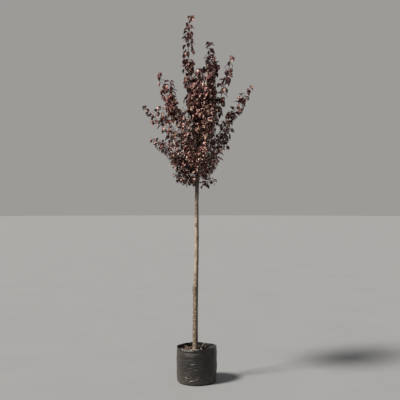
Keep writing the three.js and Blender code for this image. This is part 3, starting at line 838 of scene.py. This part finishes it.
def grow_trunk_spurs():
    """Short spurs along the trunk, which clothe it with leaves from the foot of the head upwards."""
    random = np.random.default_rng(SEED + 500)
    turn = 0.0
    for height in np.arange(*SPUR_HEIGHTS):
        turn += STEM_TURN
        middle, radius = trunk_at(height + random.uniform(-3, 3))
        out = np.array([math.cos(turn), math.sin(turn), random.uniform(*TRUNK_SPUR_LIFTS)])
        length = between(random, TRUNK_SPUR_LENGTHS)
        line = middle + unit(out) * np.linspace(radius * 0.7, radius + length, 5)[:, None]
        owner = int(np.argmin([segment_distances(line[-1], shoot.axis) for shoot in shoots]))
        tint = pick_tint(TRUNK_SPUR_SHARE, random)
        add_spur(owner, line, TRUNK_SPUR_LEAVES, TRUNK_SPUR_LEAF_ANGLES, 1, tint, random)


def segment_distances(points, axis):
    """The least distance of each point to a line of straight pieces."""
    start, step = axis[:-1], np.diff(axis, axis=0)
    offset = points[..., None, :] - start
    share = np.clip((offset * step).sum(-1) / (step * step).sum(-1), 0, 1)
    return np.linalg.norm(offset - share[..., None] * step, axis=-1).min(-1)


def keeps_to_its_space(points, owners, slack):
    """Whether sets of points (set, point, xyz) stay nearer their own stem than any other, give or
    take the slack, off the limbs, and within reach of the solid that they stand for."""
    to_stems = np.stack([segment_distances(points, shoot.axis) for shoot in shoots])
    own = to_stems[owners, np.arange(len(owners))]
    others = to_stems.copy()
    others[owners, np.arange(len(owners))] = np.inf
    fine = (own < others.min(0) + 2 * slack).all(-1)
    trunk = TRUNK_STATIONS[TRUNK_STATIONS[:, 2] >= HEAD_FOOT]
    fine &= (segment_distances(points, trunk[:, :3]) > TRUNK_IN_HEAD + LIMB_CLEARANCE).all(-1)
    low, high = boxes[owners, 0][:, None], boxes[owners, 1][:, None]
    inside = (points > low - REACH_SLACK) & (points < high + REACH_SLACK)
    return fine & inside.all((-1, -2))


boxes = np.array([[list(corner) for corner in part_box(shoot.node)] for shoot in shoots]) / MM


def blade_template():
    """One blade: the share along it and the place across it of each point, and its faces."""
    rows, columns = len(BLADE_ROWS), len(BLADE_COLUMNS)
    shares = np.concatenate([[0], np.repeat(BLADE_ROWS, columns), [1]])
    asides = np.concatenate([[0], np.tile(BLADE_COLUMNS, rows), [0]])
    quads = 1 + grid_quads(rows, columns, False).reshape(-1, 4)
    row, last = np.arange(columns - 1), 1 + columns * rows
    root_fan = np.stack([0 * row, row + 2, row + 1], -1)
    tip_fan = np.stack([0 * row + last, last - columns + row, last - columns + row + 1], -1)
    return shares, asides, quads, np.concatenate([root_fan, tip_fan])


def blade_halfwidth(share):
    """An oval that is widest below its middle and ends in a drawn-out point."""
    body = np.sin(np.pi * np.clip(share, 0, 1) ** 0.82) ** 0.8
    return body * (1 - 0.35 * np.clip((share - 0.7) / 0.3, 0, 1) ** 1.5)


def blade_points(root, along, length, traits, shares, asides):
    """Points on blades: root and along have a row of 3 for each blade, and the rest a row of 1."""
    side = unit(np.cross(along, UP))
    normal = np.cross(side, along)
    cosine, sine = np.cos(traits["roll"]), np.sin(traits["roll"])
    side, normal = side * cosine + normal * sine, normal * cosine - side * sine
    aside = blade_halfwidth(shares) * (length * traits["width"] / 2) * asides
    forward = length * (shares - 0.05 * shares**3)
    wave = traits["wave"] * np.sin(TAU * BLADE_WAVES * shares + traits["phase"]) * np.abs(asides)
    raised = traits["fold"] * np.abs(aside) - traits["cup"] * aside**2 / BLADE_CUP
    raised = raised + wave - traits["droop"] * length * shares**2
    aside = aside + traits["sway"] * length * shares**2
    steps = ((along, forward), (side, aside), (normal, raised))
    return root[:, None] + sum(way[:, None] * step[..., None] for way, step in steps)


def deal_traits(random, count):
    traits = {}
    for name, spread in LEAF_TRAITS.items():
        if isinstance(spread, tuple):
            traits[name] = random.uniform(*spread, (count, 1))
        else:
            traits[name] = random.normal(0, spread, (count, 1))
    return traits


def place_leaves(foot, outward, length, owner, traits, random):
    """The root and the direction of each leaf, and whether some try found room for it."""
    count = len(foot)
    roots, chosen, found = np.zeros((count, 3)), np.zeros((count, 3)), np.zeros(count, bool)
    hang = np.interp(foot[:, 2], LEAF_HEIGHTS, LEAF_HANGS)
    bare_x, bare_half, bare_top = BARE_FOOT
    for _ in range(LEAF_TRIES):
        sag = (random.uniform(*LEAF_SAGS, count) + hang)[:, None]
        along = unit(outward - sag * UP + random.normal(0, LEAF_STRAY, (count, 3)))
        petiole = random.uniform(*PETIOLES, (count, 1))
        root = foot + petiole * unit(outward * 0.75 + along * 0.25)
        tested = blade_points(root, along, length, traits, *LEAF_PROBE)
        lots = np.array_split(np.arange(count), 12)
        fits = np.concatenate([keeps_to_its_space(tested[k], owner[k], SPACE_SLACK) for k in lots])
        x, y, z = np.moveaxis(tested, -1, 0)
        fits &= ~((np.abs(x - bare_x) < bare_half) & (y < 0) & (z < bare_top)).any(-1)
        new = fits & ~found
        roots[new], chosen[new] = root[new], along[new]
        found |= fits
    return roots, chosen, found


def make_leaves():
    """The leaves that find room, joined by tint."""
    foot, outward, length, owner, tint, chance = (np.array(column) for column in zip(*leaf_rows))
    length = (length * np.interp(foot[:, 2], LEAF_HEIGHTS, (LOW_LENGTH, 1)))[:, None]
    random = np.random.default_rng(SEED + 999)
    traits = deal_traits(random, len(foot))
    roots, along, kept = place_leaves(foot, outward, length, owner, traits, random)
    middle = roots + along * (length / 2)
    for x, z, half_width, half_height, share in OPENINGS:
        reach = np.hypot((middle[:, 0] - x) / half_width, (middle[:, 2] - z) / half_height)
        kept &= ~((reach < 1) & (chance < share))
    shares, asides, quads, triangles = blade_template()
    blades = blade_points(roots, along, length, traits, shares, asides)
    for k, (name, look) in enumerate(LEAF_LOOKS.items()):
        mine = np.flatnonzero(kept & (tint == k))
        start = (np.arange(len(mine)) * len(shares))[:, None, None]
        gathered = Gathered()
        gathered.add(blades[mine], start + quads, start + triangles)
        add_petioles(gathered, foot[mine], roots[mine], along[mine])
        nodes = sorted({shoots[i].node for i in owner[mine]})
        make_piece("leaves_" + name, gathered, leaf_material(name, *look), nodes)


def add_petioles(gathered, foot, root, along):
    """Three-sided leaf stalks, sunk a little way into what carries them and into the blade."""
    run = unit(root - foot)
    side = unit(np.cross(run, UP + 0.01))
    normal = np.cross(side, run)
    turns = (np.arange(3) * TAU / 3)[:, None]
    ring = (side[:, None] * np.cos(turns) + normal[:, None] * np.sin(turns)) * PETIOLE_RADIUS
    lower = (foot - run)[:, None] + ring * 1.2
    upper = (root + along * 3)[:, None] + ring * 0.7
    start = (np.arange(len(foot)) * 6)[:, None, None]
    ends = np.array([[2, 1, 0], [3, 4, 5]])
    points = np.concatenate([lower, upper], 1)
    gathered.add(points, start + grid_quads(2, 3, True)[0], start + ends)


# The pot and its filling

def pot_radius(angle, height):
    rise = height / POT_HEIGHT
    swelling = POT_BELLY * np.sin(np.pi * rise) - POT_TUCK * (1 - rise) ** 4
    pleats = sum(depth * np.sin(count * angle + phase) for depth, count, phase in POT_PLEATS)
    at_fold = np.abs(np.cos((angle - FOLD_ANGLE) / 2)) ** FOLD_NARROWNESS
    near_rim = np.clip((rise - FOLD_FOOT) / (1 - FOLD_FOOT), 0, None) ** 2
    return POT_RADIUS + swelling + pleats - FOLD_LEAN * at_fold * near_rim


def rim_lift(angle):
    wave = RIM_WAVE[0] * np.sin(RIM_WAVE[1] * angle + RIM_WAVE[2])
    return RIM_LIFT * np.abs(np.cos((angle - FOLD_ANGLE) / 2)) ** RIM_LIFT_NARROWNESS + wave


def rim_share(height):
    """0 up to the filling, and 1 at the rim."""
    return np.clip((height - COMPOST_TOP) / (POT_HEIGHT - COMPOST_TOP), 0, 1)


def film_relief(angle, height):
    """How far the film stands in or out of its plain shape, by its bulges and creases."""
    flat = np.stack([angle * POT_RADIUS, height, 0 * height], -1)
    plain = flat[..., :2].copy()
    rise = height / POT_HEIGHT
    made = rough(flat, *FILM_LUMPS)
    # level wrinkles
    flat[..., 1] += rough(flat, WRINKLE_WANDER)
    level = 1 - np.abs(rough(flat, WRINKLES)) + rough(flat, FINE_WRINKLES)
    ripple = np.sin(TAU * (flat[..., 1] + rough(flat, RIPPLE_WANDER)) / RIPPLE_LENGTH)
    ripple *= 0.55 + rough(flat, RIPPLE_CHANGE)
    wrinkled = WRINKLE_DEPTH * level + RIPPLE_DEPTH * ripple
    made += wrinkled * spot_share(angle, rise, WRINKLE_SPOT)
    # slanting creases
    creases = np.clip(1 - np.abs(rough(slanted(flat, CREASE_SLANT), CREASES)), 0, 1)
    made += CREASE_DEPTH * spot_share(angle, rise, CREASE_SPOT) * creases**1.3
    for ends in FOOT_CREASES:
        offset, step = plain - ends[:2], ends[2:] - ends[:2]
        share = np.clip(offset @ step / (step @ step), 0, 1)
        gap = np.linalg.norm(offset - share[..., None] * step, axis=-1)
        width = CREASE_WIDTHS[0] - CREASE_WIDTHS[1] * share
        made += CREASE_RISE * bump(gap, width) * (1 - 0.5 * share)
    # the swelling over the filling, and the waist between it and the rim
    shoulder = bump(angle_from(angle, SHOULDER[0]), SHOULDER[1])
    swell = SWELL[0] * bump(height - SWELL[1], SWELL[2])
    made += shoulder * (swell - WAIST[0] * bump(height - COMPOST_TOP, WAIST[1]))
    waist = bump(height - COMPOST_TOP - rough(flat, WAIST_WANDER), WAIST_ELSEWHERE[1])
    made -= WAIST_ELSEWHERE[0] * (1 - shoulder) * waist
    return made * np.clip(rise * 12, 0, 1)


def spot_share(angle, rise, spot):
    """1 in the middle of a spot on the wall, and 0 well away from it."""
    middle, width, level, tallness = spot
    return bump(angle_from(angle, middle), width) * bump(rise - level, tallness)


def film_at(angle, radius, height, top):
    """Places on the film: `radius` is as at the plain wall, and `top` runs from 0 to 1 at the rim."""
    angle, radius, height, top = np.broadcast_arrays(angle, radius, height, top)
    level = np.minimum(height, POT_HEIGHT)
    blend = np.clip((angle - (math.pi / 2 - SEAM)) / SEAM, 0, 1)
    relief = film_relief(angle, level) * (1 - blend) + film_relief(angle - TAU, level) * blend
    wall = pot_radius(angle, level) * radius / POT_RADIUS + relief * (radius > POT_RADIUS - RELIEF_DEPTH)
    round_rim = around(angle, POT_RADIUS, 0)
    wall = wall + top**2 * rough(round_rim, RIM_BUCKLE)
    return around(angle, wall, height + top * (rim_lift(angle) + rough(round_rim, RIM_UNEVEN)))


def make_pot(material):
    """The film of the pot. Returns the stretch of its hem whose crest is rubbed pale and painted as a
    highlight.
    """
    angles = np.linspace(-1.5 * math.pi, 0.5 * math.pi, POT_SIDES, endpoint=False)
    profile = [(radius, 0.0) for radius in SOLE_RADII]
    for bend in np.linspace(0, math.pi / 2, 7):
        profile.append((POT_RADIUS - POT_CORNER * (1 - math.sin(bend)), POT_CORNER * (1 - math.cos(bend))))
    for height in np.arange(POT_CORNER + 3, POT_HEIGHT - HEM_HEIGHT, POT_RING_STEP):
        profile.append((POT_RADIUS, height))
    rings = [film_at(angles, radius, height, rim_share(height)) for radius, height in profile]
    # the hem leans in and is rolled over, most of all at the front left
    rim = around(angles, POT_RADIUS, 0)
    leaning, rolling = (np.interp(angles, ways, (0, 1, 1, 0)) for ways in (HEM_LEANS, HEM_ROLLS))
    rolled = HEM_ROLL_LEAST + HEM_ROLL * rolling * (1 + rough(rim, HEM_ROLL_CHANGE))
    upright, width, depth = HEM_UPRIGHT
    curled = (HEM_LEAN + rough(rim, HEM_CREASES)) * leaning - depth * bump(angles - upright, width)
    for share in HEM_SHARES:
        height = POT_HEIGHT - HEM_HEIGHT * (1 - share)
        rings.append(film_at(angles, POT_RADIUS - curled * share, height, 0.75 + 0.25 * share))
    for turn in HEM_ROLL_TURNS:
        lean = curled + rolled * (1 - np.cos(turn))
        rings.append(film_at(angles, POT_RADIUS - lean, POT_HEIGHT + rolled * np.sin(turn), 1))
    for height in LINING_HEIGHTS:
        rings.append(film_at(angles, POT_RADIUS - LINING_GAP, height, rim_share(height)))
    make_skin("pot_film", rings, material, "pot")
    crest = film_at(angles, POT_RADIUS - curled - rolled, POT_HEIGHT + rolled, 1)
    return crest[(angles > HEM_WORN_AND_HIGHLIT[0]) & (angles < HEM_WORN_AND_HIGHLIT[1])]


def make_flap(material, worn_and_highlight_material, hem):
    """The loose film that is folded in over the right of the mouth, with a hole torn in it."""
    rows, columns = FLAP_GRID
    along, inward = np.meshgrid(np.linspace(0, 1, rows), np.linspace(0, 1, columns), indexing="ij")
    inside, below = FLAP_FOOT
    rim = film_at(FLAP_START + FLAP_SWEEP * along, POT_RADIUS - inside, POT_HEIGHT - below, 1)
    edge = between_rows(along, FLAP_EDGE[:, 0], FLAP_EDGE[:, 1:])
    points = rim + (edge - rim) * inward[..., None]
    middle = np.sin(np.pi * along)
    z = points[..., 2]
    z += middle * inward * rough(slanted(points * [1, 1, 0], FLAP_SLANT), *FLAP_LUMPS)
    # a crest along the rim, a pocket behind the free edge, and the edge itself, which curls up
    z += FLAP_CREST[0] * bump(inward, FLAP_CREST[1]) * middle
    depth, inward_middle, inward_width, along_middle, along_width = FLAP_POCKET
    z -= depth * bump(inward - inward_middle, inward_width) * bump(along - along_middle, along_width)
    z += FLAP_CURL[0] * bump(inward - FLAP_CURL[1], FLAP_CURL[2]) * middle
    # the film gathers at the lip of the hole
    offset = (points[..., :2] - FLAP_HOLE[:2]) / FLAP_HOLE[2:]
    reach = np.linalg.norm(offset, axis=-1)
    pushed = np.where((reach > FLAP_TORN) & (reach < 1), 1 / np.maximum(reach, 0.1), 1)[..., None]
    points[..., :2] = FLAP_HOLE[:2] + offset * pushed * FLAP_HOLE[2:]
    z += FLAP_LIP[0] * bump(np.maximum(reach, 1) - 1, FLAP_LIP[1])
    z -= FLAP_DIP[0] * bump(reach - FLAP_DIP[1], FLAP_DIP[2])
    quads = np.roll(grid_quads(rows, columns, False)[..., ::-1], 1, -1).reshape(-1, 4)
    kept = quads[(reach.ravel()[quads] > FLAP_TORN).all(-1)]
    gathered = Gathered()
    gathered.add(points, kept)
    gathered.add(points - [0, 0, FLAP_THICKNESS], kept[:, ::-1])
    make_piece("pot_flap", gathered, material, ["pot"])
    # the hem's rubbed edge, the rolled free edge of the flap and a sharp fold beside it, in pale film that
    # is partly wear and partly painted highlight
    worn_and_highlit = Gathered()
    first, last, place = FLAP_FOLD
    fold = points[first:last, place] + UP * 0.6
    for line, (least, more, start) in ((hem, WORN_AND_HIGHLIT_HEM), (fold, WORN_AND_HIGHLIT_FOLD)):
        tube(worn_and_highlit, line, least + more * np.sin(np.linspace(start, np.pi, len(line))), 8)
    tube(worn_and_highlit, points[4:-4, -1] + UP, np.full(rows - 8, FLAP_ROLL), 10)
    make_piece("flap_folds", worn_and_highlit, worn_and_highlight_material, ["pot"])


def compost_height(x, y):
    reach = np.hypot(x, y) / (POT_RADIUS - POT_WALL)
    sunk = COMPOST_DIP * np.clip((reach - COMPOST_FLAT) / (COMPOST_SHOULDER - COMPOST_FLAT), 0, 1)
    edge = (COMPOST_TOP - COMPOST_DIP - COMPOST_EDGE) * np.clip((reach - COMPOST_SHOULDER) / 0.2, 0, 1)
    lumps = rough(np.stack([x, y, 0 * x], -1), *COMPOST_LUMPS)
    hollow = HOLLOW[3] * bump(np.hypot(x - HOLLOW[0], y - HOLLOW[1]), HOLLOW[2])
    return COMPOST_TOP - sunk - edge + lumps - hollow


def make_compost(material):
    angles = np.arange(COMPOST_SIDES) * TAU / COMPOST_SIDES
    wrapped = np.where(angles > math.pi, angles - TAU, angles)
    inner = POT_RADIUS - POT_WALL - COMPOST_GAP
    rings = []
    for height in COMPOST_WALL_HEIGHTS:
        wall = pot_radius(wrapped, height) * (inner - COMPOST_SUNK) / POT_RADIUS
        rings.append(around(angles, wall, height))
    edge = pot_radius(wrapped, COMPOST_EDGE) * inner / POT_RADIUS
    for share in COMPOST_RINGS:
        ring = around(angles, edge * share, 0)
        ring[:, 2] = compost_height(ring[:, 0], ring[:, 1])
        rings.append(ring)
    make_skin("compost_fill", rings, material, "compost")


def make_bits(material, straw_material):
    """Bark chips and straws that lie on the compost."""
    random = np.random.default_rng(SEED + 77)
    chips, straws = Gathered(), Gathered()
    square = ((-1, -1), (1, -1), (1, 1), (-1, 1))
    corners = np.array([(x, y, z) for z in (-1, 1) for x, y in square], float)
    faces = [[3, 2, 1, 0], [4, 5, 6, 7], [0, 1, 5, 4], [1, 2, 6, 5], [2, 3, 7, 6], [3, 0, 4, 7]]
    for k in range(BIT_COUNT):
        reach, turn = BIT_REACH * math.sqrt(random.random()), random.uniform(0, TAU)
        x, y = reach * math.cos(turn), reach * math.sin(turn)
        if math.hypot(x - TRUNK_FOOT[0], y) < TRUNK_FOOT[1]:
            continue
        spin, tilt = random.uniform(0, TAU), random.uniform(*BIT_TILTS)
        ahead = around(spin, math.cos(tilt), math.sin(tilt))
        side = unit(np.cross(UP, ahead))
        top = np.cross(ahead, side)
        is_straw = k % STRAW_EVERY == 0
        if is_straw:
            size, width = random.uniform(*STRAW_LENGTHS), random.uniform(*STRAW_WIDTHS)
            half, thick, uneven = size / 2, width, 0.2
        else:
            size = random.uniform(*CHIP_LENGTHS)
            width, thick = size * random.uniform(*CHIP_WIDTHS), random.uniform(*CHIP_THICKNESSES)
            half, uneven = size * 0.6, 1
        middle = np.array([x, y, float(compost_height(np.array(x), np.array(y))) + thick * 0.7])
        jitter = 1 + random.uniform(-0.35, 0.35, (8, 3)) * uneven
        local = corners * jitter * [half, width, thick]
        placed = middle + local[:, :1] * ahead + local[:, 1:2] * side + local[:, 2:] * top
        if not is_straw or reach + size / 2 < STRAW_REACH:
            (straws if is_straw else chips).add(placed, faces)
    arch = UP * np.sin(np.linspace(0, np.pi, 8))[:, None] * LONG_STRAW_ARCH
    for foot, tip in LONG_STRAWS:
        tube(straws, np.linspace(foot, tip, 8) + arch, np.linspace(*LONG_STRAW_RADII, 8), 6)
    make_piece("compost_chips", chips, material, ["compost"])
    make_piece("compost_straws", straws, straw_material, ["compost"])


# Materials

class Nodes:
    """Builds one procedural material around a Principled shader."""

    def __init__(self, name):
        self.material = bpy.data.materials.new(name)
        self.material.use_nodes = True
        self.tree = self.material.node_tree
        self.shader = self.tree.nodes["Principled BSDF"]
        self.place = self.node("TexCoord", "Object", {})

    def fill(self, socket, value):
        """Links a socket to another node's output, or sets it to a value."""
        if isinstance(value, bpy.types.NodeSocket):
            self.tree.links.new(value, socket)
        else:
            socket.default_value = value

    def node(self, kind, output, inputs, **settings):
        """An output of a new node."""
        made = self.tree.nodes.new("ShaderNode" + kind)
        for name, value in settings.items():
            setattr(made, name, value)
        for name, value in inputs.items():
            self.fill(made.inputs[name], value)
        return made.outputs[output]

    def set(self, **values):
        for name, value in values.items():
            self.fill(self.shader.inputs[name.replace("_", " ")], value)

    def axis(self, name):
        return self.node("SeparateXYZ", name, {"Vector": self.place})

    def combine(self, first, second, operation="MULTIPLY"):
        return self.node("Math", 0, {0: first, 1: second}, operation=operation)

    def noise(self, scale, detail=3, stretch=(1, 1, 1)):
        place = self.node("Mapping", 0, {"Vector": self.place, "Scale": stretch})
        return self.node("TexNoise", "Fac", {"Vector": place, "Scale": scale, "Detail": detail})

    def ramp(self, factor, *stops):
        output = self.node("ValToRGB", "Color", {"Fac": factor})
        elements = output.node.color_ramp.elements
        while len(elements) < len(stops):
            elements.new(0.5)
        for element, (place, colour) in zip(elements, stops):
            element.position, element.color = place, (*colour, 1)
        return output

    def spread(self, factor, low, high, to_low, to_high):
        """A share that goes from one value to another while the factor goes from low to high."""
        ends = {"From Min": low, "From Max": high, "To Min": to_low, "To Max": to_high}
        return self.node("MapRange", "Result", {"Value": factor, **ends})

    def colour(self, output):
        self.base = output
        self.set(Base_Color=output)

    def coat(self, colour, *shares, blend="MIX"):
        """Lays a colour over the last one by the product of some shares: numbers, outputs, or rows
        for `spread`."""
        shares = [self.spread(*share) if isinstance(share, tuple) else share for share in shares]
        over = (*colour, 1) if isinstance(colour, tuple) else colour
        inputs = {"Factor": reduce(self.combine, shares), 6: self.base, 7: over}
        self.colour(self.node("Mix", 2, inputs, data_type="RGBA", blend_type=blend))

    def bump(self, height, strength, distance):
        inputs = {"Height": height, "Strength": strength, "Distance": distance}
        self.set(Normal=self.node("Bump", "Normal", inputs))


def leaf_material(name, deep, light, sheen):
    made = Nodes("leaf_" + name)
    height = made.axis("Z")
    made.colour(made.ramp(made.noise(60, 2), (0.35, deep), (0.65, light)))
    # the upper leaves are darker
    made.coat((0.60, 0.52, 0.60), (height, 2.05, 2.55, 0.0, 1.0), blend="MULTIPLY")
    # painted highlights: pale streaks that stand in for glints, mostly on the small leaves low in the head
    glint_streaks = made.noise(74, 2, (0.8, 0.8, 2.3))
    made.coat((0.68, 0.52, 0.455), (glint_streaks, 0.57, 0.61, 0.0, 1.0), (height, 1.85, 2.65, 1.0, 0.30))
    made.set(Roughness=made.spread(made.noise(150, 2), 0.3, 0.7, 0.32, 0.50))
    made.bump(made.noise(420, 3), 0.4, 0.0008)
    made.set(Specular_IOR_Level=sheen, Specular_Tint=(1.0, 0.78, 0.68, 1.0))
    return made.material


def bark_material():
    made = Nodes("bark_old")
    height, across = made.axis("Z"), made.axis("X")
    patches = made.noise(30, 4, (1, 1, 0.8))
    made.colour(made.ramp(
        patches,
        (0.36, (0.040, 0.027, 0.019)),
        (0.46, (0.150, 0.105, 0.070)),
        (0.56, (0.430, 0.325, 0.240)),
        (0.70, (0.200, 0.158, 0.100)),
    ))
    # the old stem below the graft: olive film, dark marks, and dark and pale mottles
    old = (height, 0.6, 1.0, 1.0, 0.35)
    made.coat((0.125, 0.100, 0.052), (made.noise(20, 3), 0.46, 0.60, 0.0, 0.65), old)
    made.coat((0.070, 0.048, 0.032), (height, 0.70, 0.86, 0.40, 0.05))
    made.coat((0.026, 0.019, 0.014), (made.noise(34, 3, (1, 1, 1.2)), 0.53, 0.58, 0.0, 0.9), old)
    mottles = made.noise(62, 3)
    made.coat((0.055, 0.038, 0.026), (mottles, 0.46, 0.51, 0.90, 0.0), old)
    made.coat((0.50, 0.39, 0.28), (mottles, 0.54, 0.59, 0.0, 0.85), old)
    # level dashes and pale flecks all the way up
    made.coat((0.055, 0.040, 0.034), (made.noise(60, 2, (1, 1, 3.5)), 0.57, 0.63, 0.0, 0.9))
    made.coat((0.48, 0.40, 0.32), (made.noise(95, 2, (1, 1, 2)), 0.64, 0.70, 0.0, 0.8))
    # the scar at the left of the graft
    left = (across, -0.030, -0.023, 1.0, 0.0)
    made.coat((0.018, 0.013, 0.011), left, (height, 0.690, 0.720, 0.0, 1.0), (height, 0.79, 0.81, 1.0, 0.0))
    # the paler stem above the graft
    made.coat((0.50, 0.41, 0.345), (height, 0.80, 0.95, 0.0, 0.62), (patches, 0.40, 0.55, 0.2, 1.0))
    # painted shade: the side away from the key light is darkened
    middle = made.spread(height, 0.75, 1.10, -0.010, 0.001)
    aside = made.combine(across, middle, "SUBTRACT")
    made.coat((0.040, 0.026, 0.017), (aside, -0.003, 0.007, 0.0, 0.68))
    # the foot is darker
    made.coat((0.055, 0.043, 0.034), (height, 0.36, 0.58, 0.42, 0.0))
    # painted shadow of the head of leaves: the trunk darkens below it and is near black within it
    made.coat((0.050, 0.036, 0.036), (height, 1.34, 1.62, 0.0, 0.80))
    made.coat((0.014, 0.009, 0.011), (height, 1.53, 1.60, 0.0, 0.92))
    fine = made.noise(240, 4, (1, 1, 0.7))
    made.coat(made.ramp(fine, (0.3, (0.05, 0.037, 0.028)), (0.7, (0.30, 0.235, 0.175))), 0.30)
    made.coat((0.92, 0.91, 0.895), 1.0, blend="MULTIPLY")
    made.set(Roughness=made.spread(patches, 0.3, 0.7, 0.58, 0.82))
    made.bump(fine, 0.5, 0.0012)
    return made.material


def young_bark_material(name):
    made = Nodes(name)
    patches = made.noise(40, 3, (1, 1, 0.5))
    made.colour(made.ramp(
        patches,
        (0.35, (0.032, 0.020, 0.019)),
        (0.60, (0.075, 0.048, 0.042)),
        (0.75, (0.110, 0.085, 0.070)),
    ))
    # pale pores
    made.coat((0.20, 0.16, 0.13), (made.noise(330, 2, (1, 1, 2.5)), 0.66, 0.72, 0.0, 1.0))
    made.set(Roughness=made.spread(patches, 0.3, 0.7, 0.42, 0.62))
    made.bump(made.noise(300, 3), 0.3, 0.0008)
    return made.material


def film_material(name, sheen, dusty, rim_roughness):
    """Black film with dust up to a share, thinned on the side away from the key light as painted shade, a
    painted reflection on the side toward it, and a rim whose roughness is a share of the wall's.
    """
    made = Nodes(name)
    height, across = made.axis("Z"), made.axis("X")
    deep, light = (0.0050, 0.0047, 0.0045), (0.0105, 0.010, 0.0095)
    made.colour(made.ramp(made.noise(9, 4), (0.35, deep), (0.7, light)))
    # dust, thinned towards +X as painted shade on the side away from the key light
    dust = (made.noise(34, 5, (1, 1, 1.6)), 0.44, 0.75, 0.03, dusty)
    made.coat((0.062, 0.057, 0.050), dust, (across, 0.0, 0.13, 1.0, 0.25))
    # splashed soil at the foot, and a pale coat on the left, the side toward the key light, that is partly
    # dry dust and partly painted reflection
    splashes = (made.noise(46, 4), 0.40, 0.62, 0.25, 1.0)
    made.coat((0.060, 0.053, 0.046), (height, 0.02, 0.13, 0.75, 0.0), splashes)
    made.coat((0.060, 0.054, 0.046), (across, -0.170, -0.075, 0.42, 0.0))
    rim = made.spread(height, 0.268, 0.282, 1.0, rim_roughness)
    made.set(Roughness=made.combine(made.spread(made.noise(24, 4), 0.3, 0.7, 0.36, 0.50), rim))
    made.bump(made.noise(130, 4, (1, 1, 2.6)), 0.3, 0.0012)
    made.set(Specular_IOR_Level=sheen)
    return made.material


# pale film, partly wear and partly painted highlight, for the hem's crest and the flap's edge and fold
def worn_and_highlight_material():
    made = Nodes("worn_film_and_painted_highlight")
    made.colour(made.ramp(made.noise(60, 3), (0.38, (0.10, 0.091, 0.080)), (0.6, (0.30, 0.277, 0.245))))
    made.set(Roughness=0.45)
    made.bump(made.noise(200, 3), 0.3, 0.0008)
    return made.material


def compost_material(name, *tones):
    made = Nodes(name)
    made.colour(made.ramp(made.noise(120, 5), *zip((0.3, 0.5, 0.68), tones)))
    made.set(Roughness=0.95, Specular_IOR_Level=0.12)
    made.bump(made.noise(260, 4), 0.8, 0.002)
    return made.material


def floor_material():
    made = Nodes("pale_floor")
    made.colour(made.ramp(made.noise(1.5, 3), (0.3, (0.163, 0.173, 0.187)), (0.7, (0.171, 0.181, 0.195))))
    made.set(Roughness=0.8)
    return made.material


# The studio

def make_floor():
    row = np.arange(FLOOR_SIDES)
    rings = [around(row * TAU / FLOOR_SIDES, radius, 0) for radius in FLOOR_RADII]
    middle = np.full(FLOOR_SIDES, len(rings) * FLOOR_SIDES)
    fan = np.stack([middle, row, (row + 1) % FLOOR_SIDES], -1)
    gathered = Gathered()
    quads = grid_quads(len(rings), FLOOR_SIDES, True)[..., ::-1]
    gathered.add(np.concatenate([*rings, [[0, 0, 0]]]), quads, fan)
    make_object("floor", gathered, floor_material())


def make_lights():
    key = bpy.data.lights.new("key", "SUN")
    key.energy, key.angle, key.color = KEY_STRENGTH, KEY_ANGLE, KEY_COLOUR
    turned = Vector(KEY_DIRECTION).to_track_quat("Z", "Y").to_euler()
    add_object("key", key).rotation_euler = turned
    world = bpy.data.worlds.new("studio")
    world.use_nodes = True
    background = world.node_tree.nodes["Background"]
    background.inputs["Color"].default_value = (*SURROUNDINGS, 1)
    background.inputs["Strength"].default_value = 1.0
    bpy.context.scene.world = world


def make_camera():
    data = bpy.data.cameras.new("camera")
    data.lens, data.sensor_width = CAMERA_LENS, CAMERA_SENSOR
    made = add_object("camera", data)
    made.location, made.rotation_euler = CAMERA_PLACE, (math.radians(90), 0, 0)
    bpy.context.scene.camera = made
    bpy.context.scene.view_settings.view_transform = "Standard"


make_camera()
make_lights()
make_floor()

for index in range(len(shoots)):
    grow_shoot(index)
grow_trunk_spurs()
make_trunk(bark_material())
make_boughs(young_bark_material("bark_young"))
make_piece("twigs", twigs, young_bark_material("bark_twig"), [s.node for s in shoots])
make_leaves()
worn_and_highlit_hem = make_pot(film_material("pot_film", 0.44, 0.36, 0.78))
make_flap(film_material("flap_film", 0.13, 0.05, 0.66), worn_and_highlight_material(), worn_and_highlit_hem)
make_compost(
    compost_material("compost", (0.004, 0.0023, 0.0015), (0.011, 0.0064, 0.0038), (0.028, 0.0176, 0.0112)),
)
make_bits(
    compost_material("chips", (0.005, 0.0029, 0.0018), (0.014, 0.0082, 0.0052), (0.036, 0.0230, 0.0152)),
    compost_material("straws", (0.08, 0.054, 0.039), (0.155, 0.111, 0.083), (0.30, 0.232, 0.182)),
)

bpy.context.view_layer.update()
